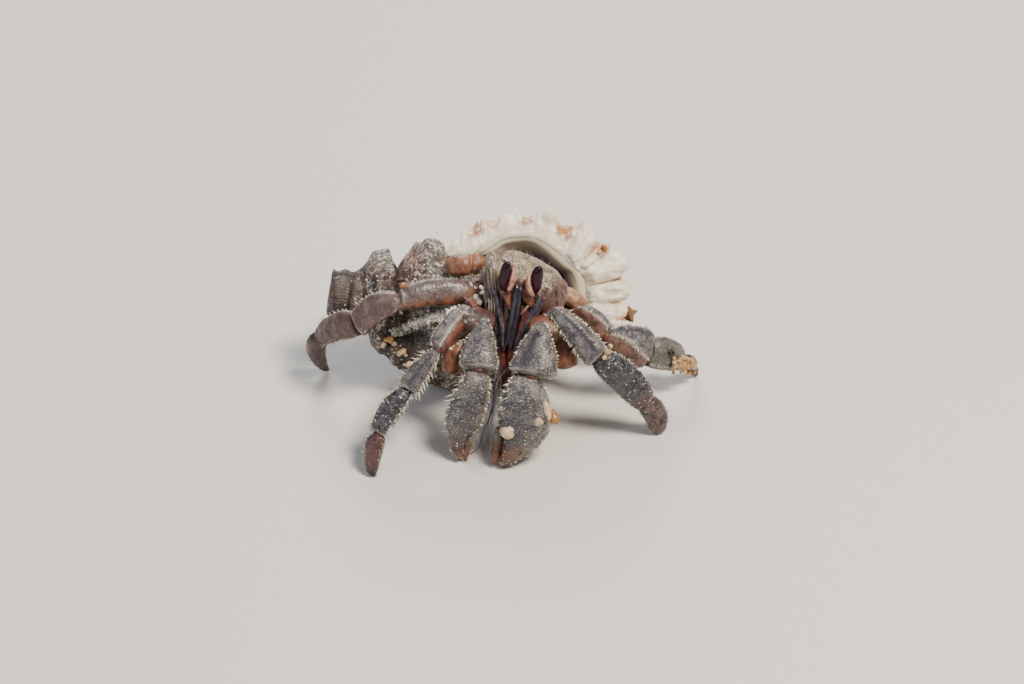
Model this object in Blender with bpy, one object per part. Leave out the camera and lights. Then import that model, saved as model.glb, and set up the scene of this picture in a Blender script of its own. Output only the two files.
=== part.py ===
"""A small land hermit crab, life size, standing half out of its worn rock-shell.

The crab faces -Y and its own left is +X. Sizes are in millimetres and are turned into metres where
a mesh is made. Every limb is a chain of joint points, and each segment is a loft between two of
them, cut off at both ends in the plane that halves the bend, so that neighbours never overlap.
"""

import math

import bmesh
import bpy
import numpy as np
from mathutils import Vector

MM = 0.001
GAP = 0.16          # clearance between two segments that meet at a joint
FLOOR = 0.0         # every foot, claw tip and the shell are cut to a small flat here
FACING = np.array([0.0, -0.839, 0.545])  # the broad faces of the claws and legs look this way
ACROSS_MOUTH = np.array([0.0, 0.545, 0.839])  # square to FACING: straight up across the shell's mouth

# --- shell: a right-handed spiral about its own axis ---
SHELL_APEX = np.array([-14.3, 13.8, 7.7])     # middle of the worn-off tip
SHELL_AXIS = np.array([24.5, 0.0, -4.6])      # from the tip towards the canal
SHELL_LENGTH = 25.3
SHELL_LOST_TIP = 5.6         # length of the spire that has broken away
SHELL_GROWTH = 1.40          # how much a whorl widens in one turn
SHELL_WHORLS = 5
SHELL_NODES_PER_TURN = 9     # blunt knobs on the shoulder of each whorl
SHELL_NODE_HEIGHT = 0.085    # as a part of the whorl's radius
SHELL_SHOULDER = (17.6, 1.6) # where on the last whorl the knobs sit, and how far they reach
SHELL_CORE = 0.55            # radius of the pillar that the whorls wind round
# distance from the true tip and radius of the last whorl's outline, at the lip
SHELL_OUTLINE = [(13.6, 3.2), (14.6, 4.6), (15.8, 5.7), (17.3, 6.8), (18.6, 7.0), (20.8, 6.6),
                 (23.0, 6.1), (25.2, 4.9), (27.2, 3.4), (28.8, 2.0), (30.0, 1.4), (31.2, 1.1)]
SHELL_FLARE = 0.10           # extra widening of the last part of the last whorl
SHELL_FLARE_TURN = 1.2
SHELL_WORN_FRONT = 0.12      # how much the wall in front of the mouth has been worn back
SHELL_WORN_TURN = 1.45       # the turn at which it is worn most, and where along the axis it starts
SHELL_WORN_START = 11.0
SHELL_WORN_RUN = 3.0
SHELL_TURNS = 41             # points round the axis
SHELL_SPIRE_RINGS = 13       # rings up to the last whorl, and over it
SHELL_LAST_RINGS = 18
SHELL_LAST_START = 15.0
LIP_PATH = [(14.7, 5.2), (16.9, 6.6), (19.5, 7.75), (22.2, 7.9), (25.0, 6.8), (26.9, 5.0),
            (27.9, 3.2), (28.9, 1.8), (30.2, 1.1)]
LIP_WIDTHS = [0.9, 1.6, 2.1, 2.3, 2.9, 3.2, 2.6, 1.8, 1.3]   # across the rim, along the path
LIP_THICKNESS = 2.0          # along the direction of growth
LIP_KNOBS = 9                # blunt ends of the spiral ribs along the rim
LIP_KNOB_HEIGHT = 0.11
LIP_SET_BACK = 0.7           # how far the rim lies behind the plane of the mouth, in half thicknesses
LIP_RINGS = 33
MOUTH_CENTRE = (21.4, 3.8)   # distance from the true tip, radius
MOUTH_HALF = (5.2, 3.0)      # half sizes of the opening along the axis and outwards
MOUTH_START = -0.22          # the cutter starts this far in front of the mouth, in radians
MOUTH_TURN = 1.45            # how far the hollow follows the spiral, in radians
MOUTH_TAPER = 0.52           # its size at the inner end, against that of a full whorl
MOUTH_DRIFT = 0.08           # how far its middle draws in there, beside the whorl's own growth
ABDOMEN_FILL = 0.7           # how much of the hollow the soft part fills, and where in it
ABDOMEN_TURNS = (0.42, 1.15)

# --- limbs: joint points from the body outwards ---
LIMBS = {
    "leg2_right": [(-1.6, 9.9, 8.8), (-3.4, 8.0, 9.7), (-5.7, 4.1, 8.35), (-7.9, 2.8, 5.6),
                   (-10.2, 0.9, 2.8), (-10.6, -0.5, 0.0)],
    "leg3_right": [(-1.7, 11.1, 9.9), (-2.9, 9.7, 10.5), (-8.8, 8.2, 10.2), (-12.0, 8.9, 7.65),
                   (-15.1, 12.1, 4.5), (-14.7, 14.1, 0.0)],
    "leg2_left": [(3.4, 11.4, 5.4), (4.2, 10.1, 5.3), (3.7, 6.4, 10.2), (6.7, 4.8, 7.1),
                  (10.4, 5.2, 2.8), (11.6, 5.5, 0.0)],
    "leg3_left": [(3.3, 12.6, 6.9), (4.5, 11.4, 7.2), (7.4, 9.1, 6.4), (10.7, 10.4, 4.2),
                  (13.4, 12.0, 2.5), (14.8, 13.5, 0.0)],
    "claw_right": [(-1.5, 8.9, 6.6), (-4.0, 7.7, 6.0), (-2.0, 6.3, 10.0), (-2.5, 3.2, 7.1),
                   (-3.9, 1.7, 0.0)],
    "claw_left": [(1.4, 9.4, 5.2), (2.1, 8.2, 5.2), (2.2, 5.6, 10.0), (1.4, 2.7, 6.9),
                  (-0.8, 0.8, 0.0)],
}
LEG_SEGMENTS = ("base", "merus", "carpus", "propodus", "dactyl")
# width across FACING and depth along it, for each segment
LEG_GIRTHS = {
    "leg2_right": [(1.2, 1.0), (1.6, 1.2), (1.8, 1.4), (1.85, 1.4), (1.5, 1.1)],
    "leg3_right": [(1.2, 1.0), (1.9, 1.3), (2.1, 1.5), (2.0, 1.5), (1.6, 1.1)],
    "leg2_left": [(1.5, 1.2), (1.8, 1.3), (2.2, 1.6), (2.4, 1.7), (1.8, 1.3)],
    "leg3_left": [(1.5, 1.2), (2.3, 1.5), (2.9, 1.7), (2.4, 1.7), (1.7, 1.2)],
}
CLAW_SEGMENTS = ("base", "merus", "carpus")
CLAW_GIRTHS = {
    "claw_right": [(1.7, 1.5), (1.6, 1.3), (2.5, 1.8)],
    "claw_left": [(1.6, 1.4), (2.0, 1.6), (3.1, 2.1)],
}
# widths of a hand at its wrist, at its widest and at the finger roots, and its depth
HANDS = {"claw_right": (1.7, 2.9, 2.2, 2.1), "claw_left": (2.1, 4.1, 3.0, 2.7)}
HAND_SPLIT = 0.62            # where along the hand the two fingers part
# place along the hand, shift from its inner edge, which of the three widths and how much of it, depth
HAND_SHAPE = ((0.0, 0.0, 0, 1.0, 0.62), (0.08, 0.0, 0, 1.3, 0.85), (0.3, -0.05, 1, 0.97, 1.0),
              (0.48, -0.06, 1, 1.0, 0.98), (HAND_SPLIT, -0.14, 1, 0.86, 0.86),
              (0.8, -0.13, 2, 0.62, 0.62), (0.93, -0.04, 2, 0.36, 0.4), (1.0, 0.0, 2, 0.14, 0.2))
# place along the hand, shift to its inner edge, width and depth of the moving finger
FINGER_SHAPE = ((HAND_SPLIT + 0.02, 0.335, 0.16, 0.45), (HAND_SPLIT + 0.08, 0.36, 0.22, 0.55),
                (0.8, 0.29, 0.23, 0.5), (0.9, 0.22, 0.17, 0.38), (1.0, 0.14, 0.07, 0.16))

# --- body ---
ROSTRUM = (0.7, 8.4, 12.2)
SHIELD_REAR = (1.5, 13.1, 11.9)
SHIELD_WIDTH = 6.4
SHIELD_HEIGHT = 1.85         # from its edges up to its crown
# place along the shield, half width, height and drop of the edge, all as parts of the whole
SHIELD_SHAPE = ((0.0, 0.1, 0.16, 0.0), (0.06, 0.34, 0.42, 0.35), (0.16, 0.62, 0.72, 0.66),
                (0.34, 0.86, 0.92, 0.84), (0.6, 1.0, 1.0, 0.9), (0.85, 0.95, 0.95, 0.9),
                (1.0, 0.78, 0.75, 0.85))
SHIELD_DROP = 0.75
SHIELD_UNDERSIDE = 0.18      # how far the underside bulges, as a part of the crown's height
BODY_ACROSS = (0.99, 0.1, -0.13)
BODY_UP = (0.13, 0.0, 0.99)
BODY_MIDDLE = (1.2, 11.3, 8.95)
# steps back and up from the middle, half width and half height
TRUNK_SHAPE = ((-2.0, 0.1, 1.6, 1.0), (-1.4, 0.1, 2.0, 1.3), (0.0, 0.0, 2.1, 1.35),
               (1.6, -0.1, 2.0, 1.3), (3.2, -0.6, 1.8, 1.2), (4.2, -1.0, 1.3, 0.9))
TRUNK_SKEW = 0.1
# steps back and down from the rostrum, half width and half height
FACE_SHAPE = ((-0.4, -3.0, 1.1, 1.0), (-0.1, -3.2, 1.7, 1.75), (0.3, -3.3, 1.9, 1.95),
              (0.5, -3.3, 1.6, 1.6))
# cheek plates: middle, front end, lower and upper edge, width
CHEEKS = (("right", -1.8, 7.35, 7.2, 11.0, 0.8), ("left", 3.3, 7.9, 8.2, 10.7, 0.9))
CHEEK_LENGTH = 1.2
CHEEK_SHAPE = ((0.0, 0.3, 0.6), (0.25, 0.85, 0.9), (0.7, 1.0, 1.0), (1.0, 0.6, 0.8))
EYE_SPREAD = 1.25            # from the middle line to each eye
EYE_FORWARD = 0.6            # in front of the rostrum
EYE_RISE = 0.35              # above it, and how much higher the right one is than the left
EYE_TILT = 0.14
EYE_HALF = (0.46, 0.42, 1.05)
# routes of the paired small limbs, from the rostrum: to each side, sideways for both, back and up
STALK = ((0.36, 0.0, -0.35, -1.3), (0.42, 0.0, -0.65, -0.95), (0.52, 0.0, -0.75, -0.1),
         (0.62, 0.0, -0.65, 0.75))
ANTENNULE = ((0.28, -0.1, -0.85, -1.95), (0.3, -0.35, -1.25, -3.5), (0.28, -0.7, -1.75, -5.0))
FEELER_BASE = ((1.4, -0.3, -0.6, -1.7), (1.15, -0.5, -1.0, -3.2), (0.9, -0.9, -1.6, -4.9))
MOUTH_LIMB = ((0.5, -0.6, -0.6, -5.8), (0.42, -0.95, -2.0, -7.1), (0.4, -1.25, -3.0, -8.8))
# node, route, radii, finish and how much deeper than wide
PAIRED_LIMBS = (("eyestalk", STALK, (0.22, 0.27, 0.26, 0.14), "stalk", 1.6),
                ("antennule", ANTENNULE, (0.27, 0.27, 0.2), "feeler", 1.0),
                ("antenna_base", FEELER_BASE, (0.33, 0.32, 0.24), "limb", 1.0),
                ("maxilliped", MOUTH_LIMB, (0.42, 0.4, 0.26), "limb_under", 1.0))
# the short fourth legs: route and radii
LEG4_RIGHT = ((-2.3, 12.3, 11.0), (-2.8, 12.0, 11.35), (-3.6, 11.8, 11.3), (-4.4, 11.9, 11.2),
              (-5.0, 12.2, 11.1))
LEG4_LEFT = ((3.9, 12.4, 9.1), (4.4, 11.9, 9.0), (5.0, 11.9, 8.6), (5.6, 12.3, 8.2))
HIND_LEGS = (("leg4_right", LEG4_RIGHT, (0.5, 0.85, 0.78, 0.9, 0.4)),
             ("leg4_left", LEG4_LEFT, (0.45, 0.65, 0.62, 0.35)))

# the whips hang from the tips of the feeler bases down between the claws
WHIPS = {
    "right": [(-1.0, 5.0, 6.9), (-1.35, 3.5, 6.0), (-1.4, 2.9, 4.55), (-1.8, 2.2, 3.3),
              (-2.25, 1.5, 2.5), (-2.5, 1.0, 1.75), (-3.2, 0.9, 1.1)],
    "left": [(0.5, 6.1, 6.9), (-0.5, 4.1, 6.75), (-1.15, 2.9, 6.3), (-1.35, 1.8, 4.95),
             (-1.55, 0.95, 4.0), (-1.8, 0.2, 3.2), (-1.85, -0.3, 2.1), (-1.65, -0.4, 0.8)],
}
WHIP_RADIUS = 0.25

RING_POINTS = 10
STATIONS = (0.0, 0.07, 0.28, 0.52, 0.76, 0.93, 1.0)
SEGMENT_SWELL = (0.66, 0.86, 0.93, 1.0, 1.0, 0.88, 0.68)
DACTYL_SWELL = (0.66, 0.9, 1.0, 0.84, 0.58, 0.34, 0.16)
CARPUS_SWELL = (0.6, 0.72, 0.86, 1.0, 1.04, 0.98, 0.8)
LEG_BOW = 0.03               # how far a segment bows out, as a part of its length
DACTYL_BOW = 0.12
LEG_KEEL = 0.12              # the ridge along a leg's upper edge
SHARP_ANGLE = 48.0

COLOURS = {
    "shell": ((0.62, 0.57, 0.49), 0.55),
    "shield": ((0.42, 0.36, 0.29), 0.5),
    "flank": ((0.33, 0.27, 0.27), 0.45),
    "limb": ((0.22, 0.19, 0.2), 0.42),
    "limb_under": ((0.4, 0.17, 0.08), 0.42),
    "tip": ((0.07, 0.04, 0.045), 0.3),
    "eye": ((0.04, 0.01, 0.02), 0.08),
    "stalk": ((0.62, 0.3, 0.24), 0.4),
    "feeler": ((0.06, 0.03, 0.04), 0.35),
    "flesh": ((0.5, 0.24, 0.16), 0.5),
}


def unit(vector):
    """The vector at length one."""
    vector = np.asarray(vector, float)
    return vector / np.linalg.norm(vector)


def material_named(key):
    """The Principled material of one finish, made once."""
    found = bpy.data.materials.get(key)
    if found:
        return found
    colour, roughness = COLOURS[key]
    material = bpy.data.materials.new(key)
    material.use_nodes = True
    shader = material.node_tree.nodes["Principled BSDF"]
    shader.inputs["Base Color"].default_value = (*colour, 1.0)
    shader.inputs["Roughness"].default_value = roughness
    shader.inputs["Metallic"].default_value = 0.0
    return material


def finish(name, bm, finish_name, root, origin):
    """Turns a closed bmesh in millimetres into an object whose own origin is at a joint."""
    bmesh.ops.remove_doubles(bm, verts=bm.verts, dist=0.004)
    bmesh.ops.recalc_face_normals(bm, faces=bm.faces)
    if bm.calc_volume(signed=True) < 0:
        bmesh.ops.reverse_faces(bm, faces=bm.faces)
    bmesh.ops.translate(bm, verts=bm.verts, vec=-Vector(origin))
    bmesh.ops.scale(bm, verts=bm.verts, vec=(MM, MM, MM))
    mesh = bpy.data.meshes.new(name)
    bm.to_mesh(mesh)
    bm.free()
    mesh.shade_smooth()
    mesh.set_sharp_from_angle(angle=math.radians(SHARP_ANGLE))
    obj = bpy.data.objects.new(name, mesh)
    obj.data.materials.append(material_named(finish_name))
    obj.location = Vector(origin) * MM
    obj.parent = root
    bpy.context.scene.collection.objects.link(obj)
    return obj


def loft(rings):
    """A closed skin through a row of rings that all have the same number of points."""
    bm = bmesh.new()
    rows = [[bm.verts.new(point) for point in ring] for ring in rings]
    for near, far in zip(rows, rows[1:]):
        for i in range(len(near)):
            j = (i + 1) % len(near)
            bm.faces.new((near[i], near[j], far[j], far[i]))
    bm.faces.new(rows[0])
    bm.faces.new(rows[-1])
    return bm


def cut_at_floor(bm):
    """Cuts away what is below the floor and closes the cut with a flat."""
    geometry = bm.verts[:] + bm.edges[:] + bm.faces[:]
    made = bmesh.ops.bisect_plane(
        bm, geom=geometry, dist=1e-5, plane_co=(0, 0, FLOOR), plane_no=(0, 0, -1), clear_outer=True
    )
    edges = [item for item in made["geom_cut"] if isinstance(item, bmesh.types.BMEdge)]
    if edges:
        bmesh.ops.contextual_create(bm, geom=edges)
    return bm


def section(centre, side, lift, half_side, half_lift, squareness=2.3, keel=0.0, belly=1.0):
    """One ring: a superellipse across the limb, with an optional ridge or a flattened underside."""
    ring = []
    for i in range(RING_POINTS):
        angle = 2 * math.pi * (i + 0.5) / RING_POINTS
        c, s = math.cos(angle), math.sin(angle)
        x = math.copysign(abs(c) ** (2 / squareness), c) * half_side
        y = math.copysign(abs(s) ** (2 / squareness), s) * half_lift
        x *= 1 + keel * max(0.0, c) ** 3
        y *= belly if y < 0 else 1.0
        ring.append(centre + x * side + y * lift)
    return np.array(ring)


def sheared(ring, centre, along, normal):
    """Slides a ring's points along the limb until they lie in the plane of the joint."""
    return ring - np.outer((ring - centre) @ normal / (along @ normal), along)


def bezier(start, bend, end, t):
    """A point on the curve from start to end that leans towards bend."""
    return (1 - t) ** 2 * start + 2 * t * (1 - t) * bend + t**2 * end


def frame_of(along, facing=FACING):
    """The directions across a limb and out of its broad face."""
    side = unit(np.cross(along, facing))
    return side, unit(np.cross(side, along))


def segment(start, end, planes, girth, swell=SEGMENT_SWELL, bow=0.0, squareness=2.3, keel=0.0):
    """One limb segment between two joints, mitred in the two planes given by their normals."""
    start, end = np.asarray(start, float), np.asarray(end, float)
    along = unit(end - start)
    side, lift = frame_of(along)
    start = start + along * (GAP / 2 / abs(along @ planes[0]))
    end = end - along * (GAP / 2 / abs(along @ planes[1]))
    bend = (start + end) / 2 + bow * lift * np.linalg.norm(end - start)
    rings = []
    for t, swollen in zip(STATIONS, swell):
        centre = bezier(start, bend, end, t)
        normal = unit((1 - t) * planes[0] + t * planes[1])
        ring = section(
            centre, side, lift, girth[0] / 2 * swollen, girth[1] / 2 * swollen, squareness, keel
        )
        rings.append(sheared(ring, centre, along, normal))
    return loft(rings)


def joint_planes(points):
    """The normal of the mitre plane at each joint of a chain."""
    points = [np.asarray(p, float) for p in points]
    ways = [unit(b - a) for a, b in zip(points, points[1:])]
    middle = [unit(a + b) for a, b in zip(ways, ways[1:])]
    return [ways[0], *middle, ways[-1]]


def walking_leg(name, root):
    """Base, merus, carpus, propodus and the curved claw of one walking leg."""
    points = LIMBS[name]
    planes = joint_planes(points)
    for i, part in enumerate(LEG_SEGMENTS):
        dactyl = part == "dactyl"
        bm = segment(
            points[i],
            points[i + 1],
            planes[i : i + 2],
            LEG_GIRTHS[name][i],
            swell=DACTYL_SWELL if dactyl else SEGMENT_SWELL,
            bow=DACTYL_BOW if dactyl else LEG_BOW,
            keel=0.0 if dactyl else LEG_KEEL,
        )
        if dactyl:
            cut_at_floor(bm)
        finish(f"{name}_{part}", bm, "tip" if dactyl else "limb", root, points[i])


def claw(name, root, inner):
    """One claw: three arm segments, the hand with its fixed finger, and the moving finger."""
    points = [np.array(p, float) for p in LIMBS[name]]
    planes = joint_planes(points)
    for i, part in enumerate(CLAW_SEGMENTS):
        swell = CARPUS_SWELL if part == "carpus" else SEGMENT_SWELL
        bm = segment(points[i], points[i + 1], planes[i : i + 2], CLAW_GIRTHS[name][i], swell)
        finish(f"{name}_{part}", bm, "limb", root, points[i])
    hand(name, points[3], points[4], planes[3], root, inner)


def hand(name, wrist, tip, plane, root, inner):
    """The hand from the wrist to the tip, and the finger that closes on its inner side."""
    *widths, depth = HANDS[name]
    widest = widths[1]
    along = unit(tip - wrist)
    side, lift = frame_of(along)
    if side[0] * inner < 0:
        side = -side
    length = np.linalg.norm(tip - wrist)
    first = wrist + along * GAP / 2 / abs(along @ plane)
    rings = []
    for t, shift, which, wide, thick in HAND_SHAPE:
        centre = first + along * length * t + side * shift * widest
        ring = section(centre, side, lift, widths[which] * wide / 2, depth * thick / 2)
        if t == 0.0:
            ring = sheared(ring, centre, along, plane)
        rings.append(ring)
    finish(f"{name}_hand", cut_at_floor(loft(rings)), "limb", root, wrist)
    rings = []
    for t, shift, wide, thick in FINGER_SHAPE:
        centre = first + along * length * t + side * shift * widest
        rings.append(section(centre, side, lift, wide * widest / 2, thick * depth / 2))
    finish(f"{name}_finger", cut_at_floor(loft(rings)), "tip", root, wrist)


def tube(name, points, radii, finish_name, root, flat=1.0):
    """A bent tapering feeler or mouth limb through a few points."""
    points = [np.array(p, float) for p in points]
    planes = joint_planes(points)
    rings = []
    for point, normal, radius in zip(points, planes, radii):
        side, lift = frame_of(normal)
        rings.append(section(point, side, lift, radius, radius * flat, 2.0))
    return finish(name, loft(rings), finish_name, root, points[0])


def lump(name, sections, finish_name, root, squareness=2.2, belly=1.0):
    """A body part lofted along the crab: each section is a middle, a half width and a half height."""
    across, up = unit(BODY_ACROSS), unit(BODY_UP)
    rings = [
        section(np.array(middle, float), across, up, half_width, half_height, squareness, 0.0, belly)
        for middle, half_width, half_height in sections
    ]
    return finish(name, loft(rings), finish_name, root, sections[0][0])


def carapace(root):
    """The domed shield, and the cheek plate that hangs below each of its edges."""
    front, rear = np.array(ROSTRUM), np.array(SHIELD_REAR)
    half = SHIELD_WIDTH / 2
    sections = []
    for t, wide, tall, drop in SHIELD_SHAPE:
        middle = front + (rear - front) * t - (0, 0, drop * SHIELD_HEIGHT * SHIELD_DROP)
        sections.append((middle, half * wide, SHIELD_HEIGHT * tall))
    lump("carapace_shield", sections, "shield", root, belly=SHIELD_UNDERSIDE)
    for label, x, start, low, high, wide in CHEEKS:
        sections = []
        for t, full, tall in CHEEK_SHAPE:
            y = start + CHEEK_LENGTH * t
            sections.append(((x, y, (low + high) / 2), wide / 2 * full, (high - low) / 2 * tall))
        lump(f"cheek_{label}", sections, "flank", root)


def trunk(root):
    """The trunk under the shield, running back into the shell, and the front of the head."""
    middle = np.array(BODY_MIDDLE)
    sections = [
        (middle + (TRUNK_SKEW * y, y, z), wide, tall) for y, z, wide, tall in TRUNK_SHAPE
    ]
    lump("trunk", sections, "flesh", root)
    rostrum = np.array(ROSTRUM)
    sections = [(rostrum + (0.1, y, z), wide, tall) for y, z, wide, tall in FACE_SHAPE]
    lump("face", sections, "flank", root, squareness=2.8)


def eyes_and_feelers(root):
    """Eyes on their stalks, and the two pairs of feelers, hanging between the claws."""
    x, y, z = ROSTRUM
    for label, sign in (("right", -1), ("left", 1)):
        eye = (x + sign * EYE_SPREAD, y - EYE_FORWARD, z + EYE_RISE - EYE_TILT * sign)
        bm = bmesh.new()
        bmesh.ops.create_uvsphere(bm, u_segments=12, v_segments=8, radius=1.0)
        bmesh.ops.scale(bm, vec=EYE_HALF, verts=bm.verts)
        bmesh.ops.translate(bm, vec=eye, verts=bm.verts)
        finish(f"eye_{label}", bm, "eye", root, eye)
        for node, route, radii, finish_name, flat in PAIRED_LIMBS:
            points = [
                (x + sign * spread + shift, y + back, z + up) for spread, shift, back, up in route
            ]
            tube(f"{node}_{label}", points, radii, finish_name, root, flat)
    for label, route in WHIPS.items():
        tube(f"antenna_{label}", route, (WHIP_RADIUS,) * len(route), "feeler", root)


def hind_legs(root):
    """The short fourth legs that press against the rim of the shell."""
    for name, route, radii in HIND_LEGS:
        tube(name, route, radii, "limb_under", root)


def outline_radius(distance):
    """Radius of the last whorl's outline at a distance from the true tip, at the lip."""
    knots = np.array(SHELL_OUTLINE)
    return np.interp(distance, knots[:, 0], knots[:, 1], left=0.0, right=0.0)


def shell_frame():
    """The shell's axis, the direction of its lip and the direction in which it grows there."""
    axis = unit(SHELL_AXIS)
    outward = unit(ACROSS_MOUTH - axis * (axis @ ACROSS_MOUTH))
    return axis, outward, np.cross(axis, outward)


def shell_point(distance, radius, turn):
    """A point of the shell from its cylindrical place about the axis."""
    axis, outward, growth = shell_frame()
    across = outward * math.cos(turn) + growth * math.sin(turn)
    return SHELL_APEX + axis * (distance - SHELL_LOST_TIP) + across * radius


def shell_radius(distance, turn):
    """Distance of the surface from the axis: the outermost of all the whorls that pass there."""
    best = SHELL_CORE
    for whorl in range(SHELL_WHORLS):
        age = turn / (2 * math.pi) - whorl
        size = SHELL_GROWTH ** (age - 1)
        knob = max(0.0, math.cos(2 * math.pi * SHELL_NODES_PER_TURN * age)) ** 1.5
        shoulder = math.exp(-(((distance / size - SHELL_SHOULDER[0]) / SHELL_SHOULDER[1]) ** 2))
        radius = outline_radius(distance / size) * size
        best = max(best, radius * (1 + SHELL_NODE_HEIGHT * knob * shoulder))
    flare = max(0.0, 1 - (2 * math.pi - turn) / SHELL_FLARE_TURN) ** 2
    start = min(1.0, max(0.0, (distance - SHELL_WORN_START) / SHELL_WORN_RUN))
    worn = max(0.0, math.cos(turn - SHELL_WORN_TURN)) ** 2 * start
    return best * (1 + SHELL_FLARE * flare - SHELL_WORN_FRONT * worn)


def shell_body():
    """The coiled surface, closed by the flat face of the mouth and by the worn end of the spire."""
    turns = np.linspace(0, 2 * math.pi, SHELL_TURNS)
    rounding = 0.7
    distances = [
        SHELL_LOST_TIP,
        SHELL_LOST_TIP + 0.2,
        *np.linspace(SHELL_LOST_TIP + rounding, SHELL_LAST_START, SHELL_SPIRE_RINGS),
        *np.linspace(SHELL_LAST_START, SHELL_LOST_TIP + SHELL_LENGTH, SHELL_LAST_RINGS)[1:],
    ]
    rings = []
    for distance in distances:
        end = 0.45 + 0.55 * min(1.0, (distance - SHELL_LOST_TIP) / rounding) ** 0.5
        rings.append([shell_point(distance, shell_radius(distance, t) * end, t) for t in turns])
    return loft(rings)


def lip_place(step):
    """Place, outward direction and width of the lip at a step along its path."""
    path, knots = np.array(LIP_PATH), range(len(LIP_PATH))
    here, ahead, behind = (
        np.array([np.interp(step + shift, knots, path[:, k]) for k in (0, 1)])
        for shift in (0.0, 0.4, -0.4)
    )
    way = unit(ahead - behind)
    return here, np.array((-way[1], way[0])), np.interp(step, knots, LIP_WIDTHS)


def lip_rim():
    """The thick knobbly rim round the outer side of the mouth."""
    growth = shell_frame()[2]
    last = len(LIP_PATH) - 1
    rings = []
    for step in np.linspace(0, last, LIP_RINGS):
        place, outward, width = lip_place(step)
        knob = 1 + LIP_KNOB_HEIGHT * math.cos(2 * math.pi * LIP_KNOBS * step / last)
        ring = []
        for i in range(RING_POINTS):
            angle = 2 * math.pi * i / RING_POINTS
            out = math.cos(angle) * width / 2
            out *= knob if out > 0 else 1.0
            back = (math.sin(angle) - LIP_SET_BACK) * LIP_THICKNESS / 2
            distance, radius = place + outward * out
            ring.append(shell_point(distance, radius, 0.0) + growth * back)
        rings.append(ring)
    return loft(rings)


def hollow_ring(back, points, fill=1.0):
    """An oval across the hollow, after turning back by an angle from the mouth."""
    back_inside = max(back, 0.0)
    grown = SHELL_GROWTH ** (-back_inside / (2 * math.pi))
    share = back_inside / MOUTH_TURN
    half = fill * grown * (1 - (1 - MOUTH_TAPER) * math.sqrt(share))
    middle = grown * (1 - MOUTH_DRIFT * share)
    ring = []
    for i in range(points):
        angle = 2 * math.pi * i / points
        distance = MOUTH_CENTRE[0] * middle + MOUTH_HALF[0] * half * math.cos(angle)
        radius = MOUTH_CENTRE[1] * middle + MOUTH_HALF[1] * half * math.sin(angle)
        ring.append(shell_point(distance, radius, -back))
    return ring


def mouth_hollow():
    """The cutter for the mouth: an oval that shrinks as it follows the spiral inwards."""
    return loft([hollow_ring(back, 16) for back in np.linspace(MOUTH_START, MOUTH_TURN, 9)])


def soft_part(root):
    """The start of the soft abdomen, which follows the hollow of the shell."""
    rings = [hollow_ring(back, 12, ABDOMEN_FILL) for back in np.linspace(*ABDOMEN_TURNS, 5)]
    finish("abdomen", loft(rings), "flesh", root, np.mean(rings[0], axis=0))


def boolean(obj, other, operation):
    """Adds one Boolean to an object and hides the other solid."""
    other.hide_render = True
    other.display_type = "WIRE"
    modifier = obj.modifiers.new(operation.lower(), "BOOLEAN")
    modifier.operation = operation
    modifier.object = other


def shell(root):
    """The shell: coiled body, thick rim, and the hollow in which the crab lives."""
    main = finish("shell", cut_at_floor(shell_body()), "shell", root, SHELL_APEX)
    rim = finish("shell_rim_guide", cut_at_floor(lip_rim()), "shell", root, SHELL_APEX)
    hollow = finish("shell_mouth_guide", mouth_hollow(), "shell", root, SHELL_APEX)
    boolean(main, rim, "UNION")
    boolean(main, hollow, "DIFFERENCE")


def centre_on_floor(root):
    """Moves the whole crab so that the middle of its outline is over the origin."""
    bpy.context.view_layer.update()
    graph = bpy.context.evaluated_depsgraph_get()
    corners = []
    for obj in bpy.data.objects:
        if obj.type == "MESH" and not obj.hide_render:
            seen = obj.evaluated_get(graph)
            corners += [seen.matrix_world @ Vector(corner) for corner in seen.bound_box]
    for axis in (0, 1):
        values = [corner[axis] for corner in corners]
        root.location[axis] = -(min(values) + max(values)) / 2


def main():
    for old in list(bpy.data.objects):
        bpy.data.objects.remove(old)
    root = bpy.data.objects.new("crab", None)
    bpy.context.scene.collection.objects.link(root)
    shell(root)
    carapace(root)
    trunk(root)
    soft_part(root)
    eyes_and_feelers(root)
    hind_legs(root)
    for name in LEG_GIRTHS:
        walking_leg(name, root)
    claw("claw_right", root, inner=1)
    claw("claw_left", root, inner=-1)
    centre_on_floor(root)


main()
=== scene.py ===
"""Looks of a small land hermit crab that leans out of its worn rock-shell.

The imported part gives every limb's joints and girths. Each plate of the crab is rolled from a grid
round those measures and given its own relief, and the shell is rolled from the same spiral as the
packed one. Lengths are in millimetres in the row's frame until a mesh is written.
"""

import logging
import math
from collections.abc import Callable, Sequence
from dataclasses import dataclass, field
from enum import Enum

import bpy
import numpy as np
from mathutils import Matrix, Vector


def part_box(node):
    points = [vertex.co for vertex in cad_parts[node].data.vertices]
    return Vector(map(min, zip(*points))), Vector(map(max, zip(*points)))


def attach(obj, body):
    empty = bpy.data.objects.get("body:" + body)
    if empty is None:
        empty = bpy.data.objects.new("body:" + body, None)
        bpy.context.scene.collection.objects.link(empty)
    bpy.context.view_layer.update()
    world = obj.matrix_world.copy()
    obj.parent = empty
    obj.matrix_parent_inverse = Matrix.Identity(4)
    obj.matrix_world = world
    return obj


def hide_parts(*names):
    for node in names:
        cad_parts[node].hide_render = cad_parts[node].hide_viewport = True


Array = np.ndarray
Table = tuple[tuple[float, ...], ...]
Draws = np.random.Generator
Piece = bpy.types.Object
Tree = bpy.types.NodeTree
Socket = bpy.types.NodeSocket
Skin = tuple[Array, dict[str, Array]]       # points, and the marks on them that finishes read by name
Shape = Callable[[Array, Array], Skin]      # turns places along and round a piece, 0 to 1, into its skin

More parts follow.
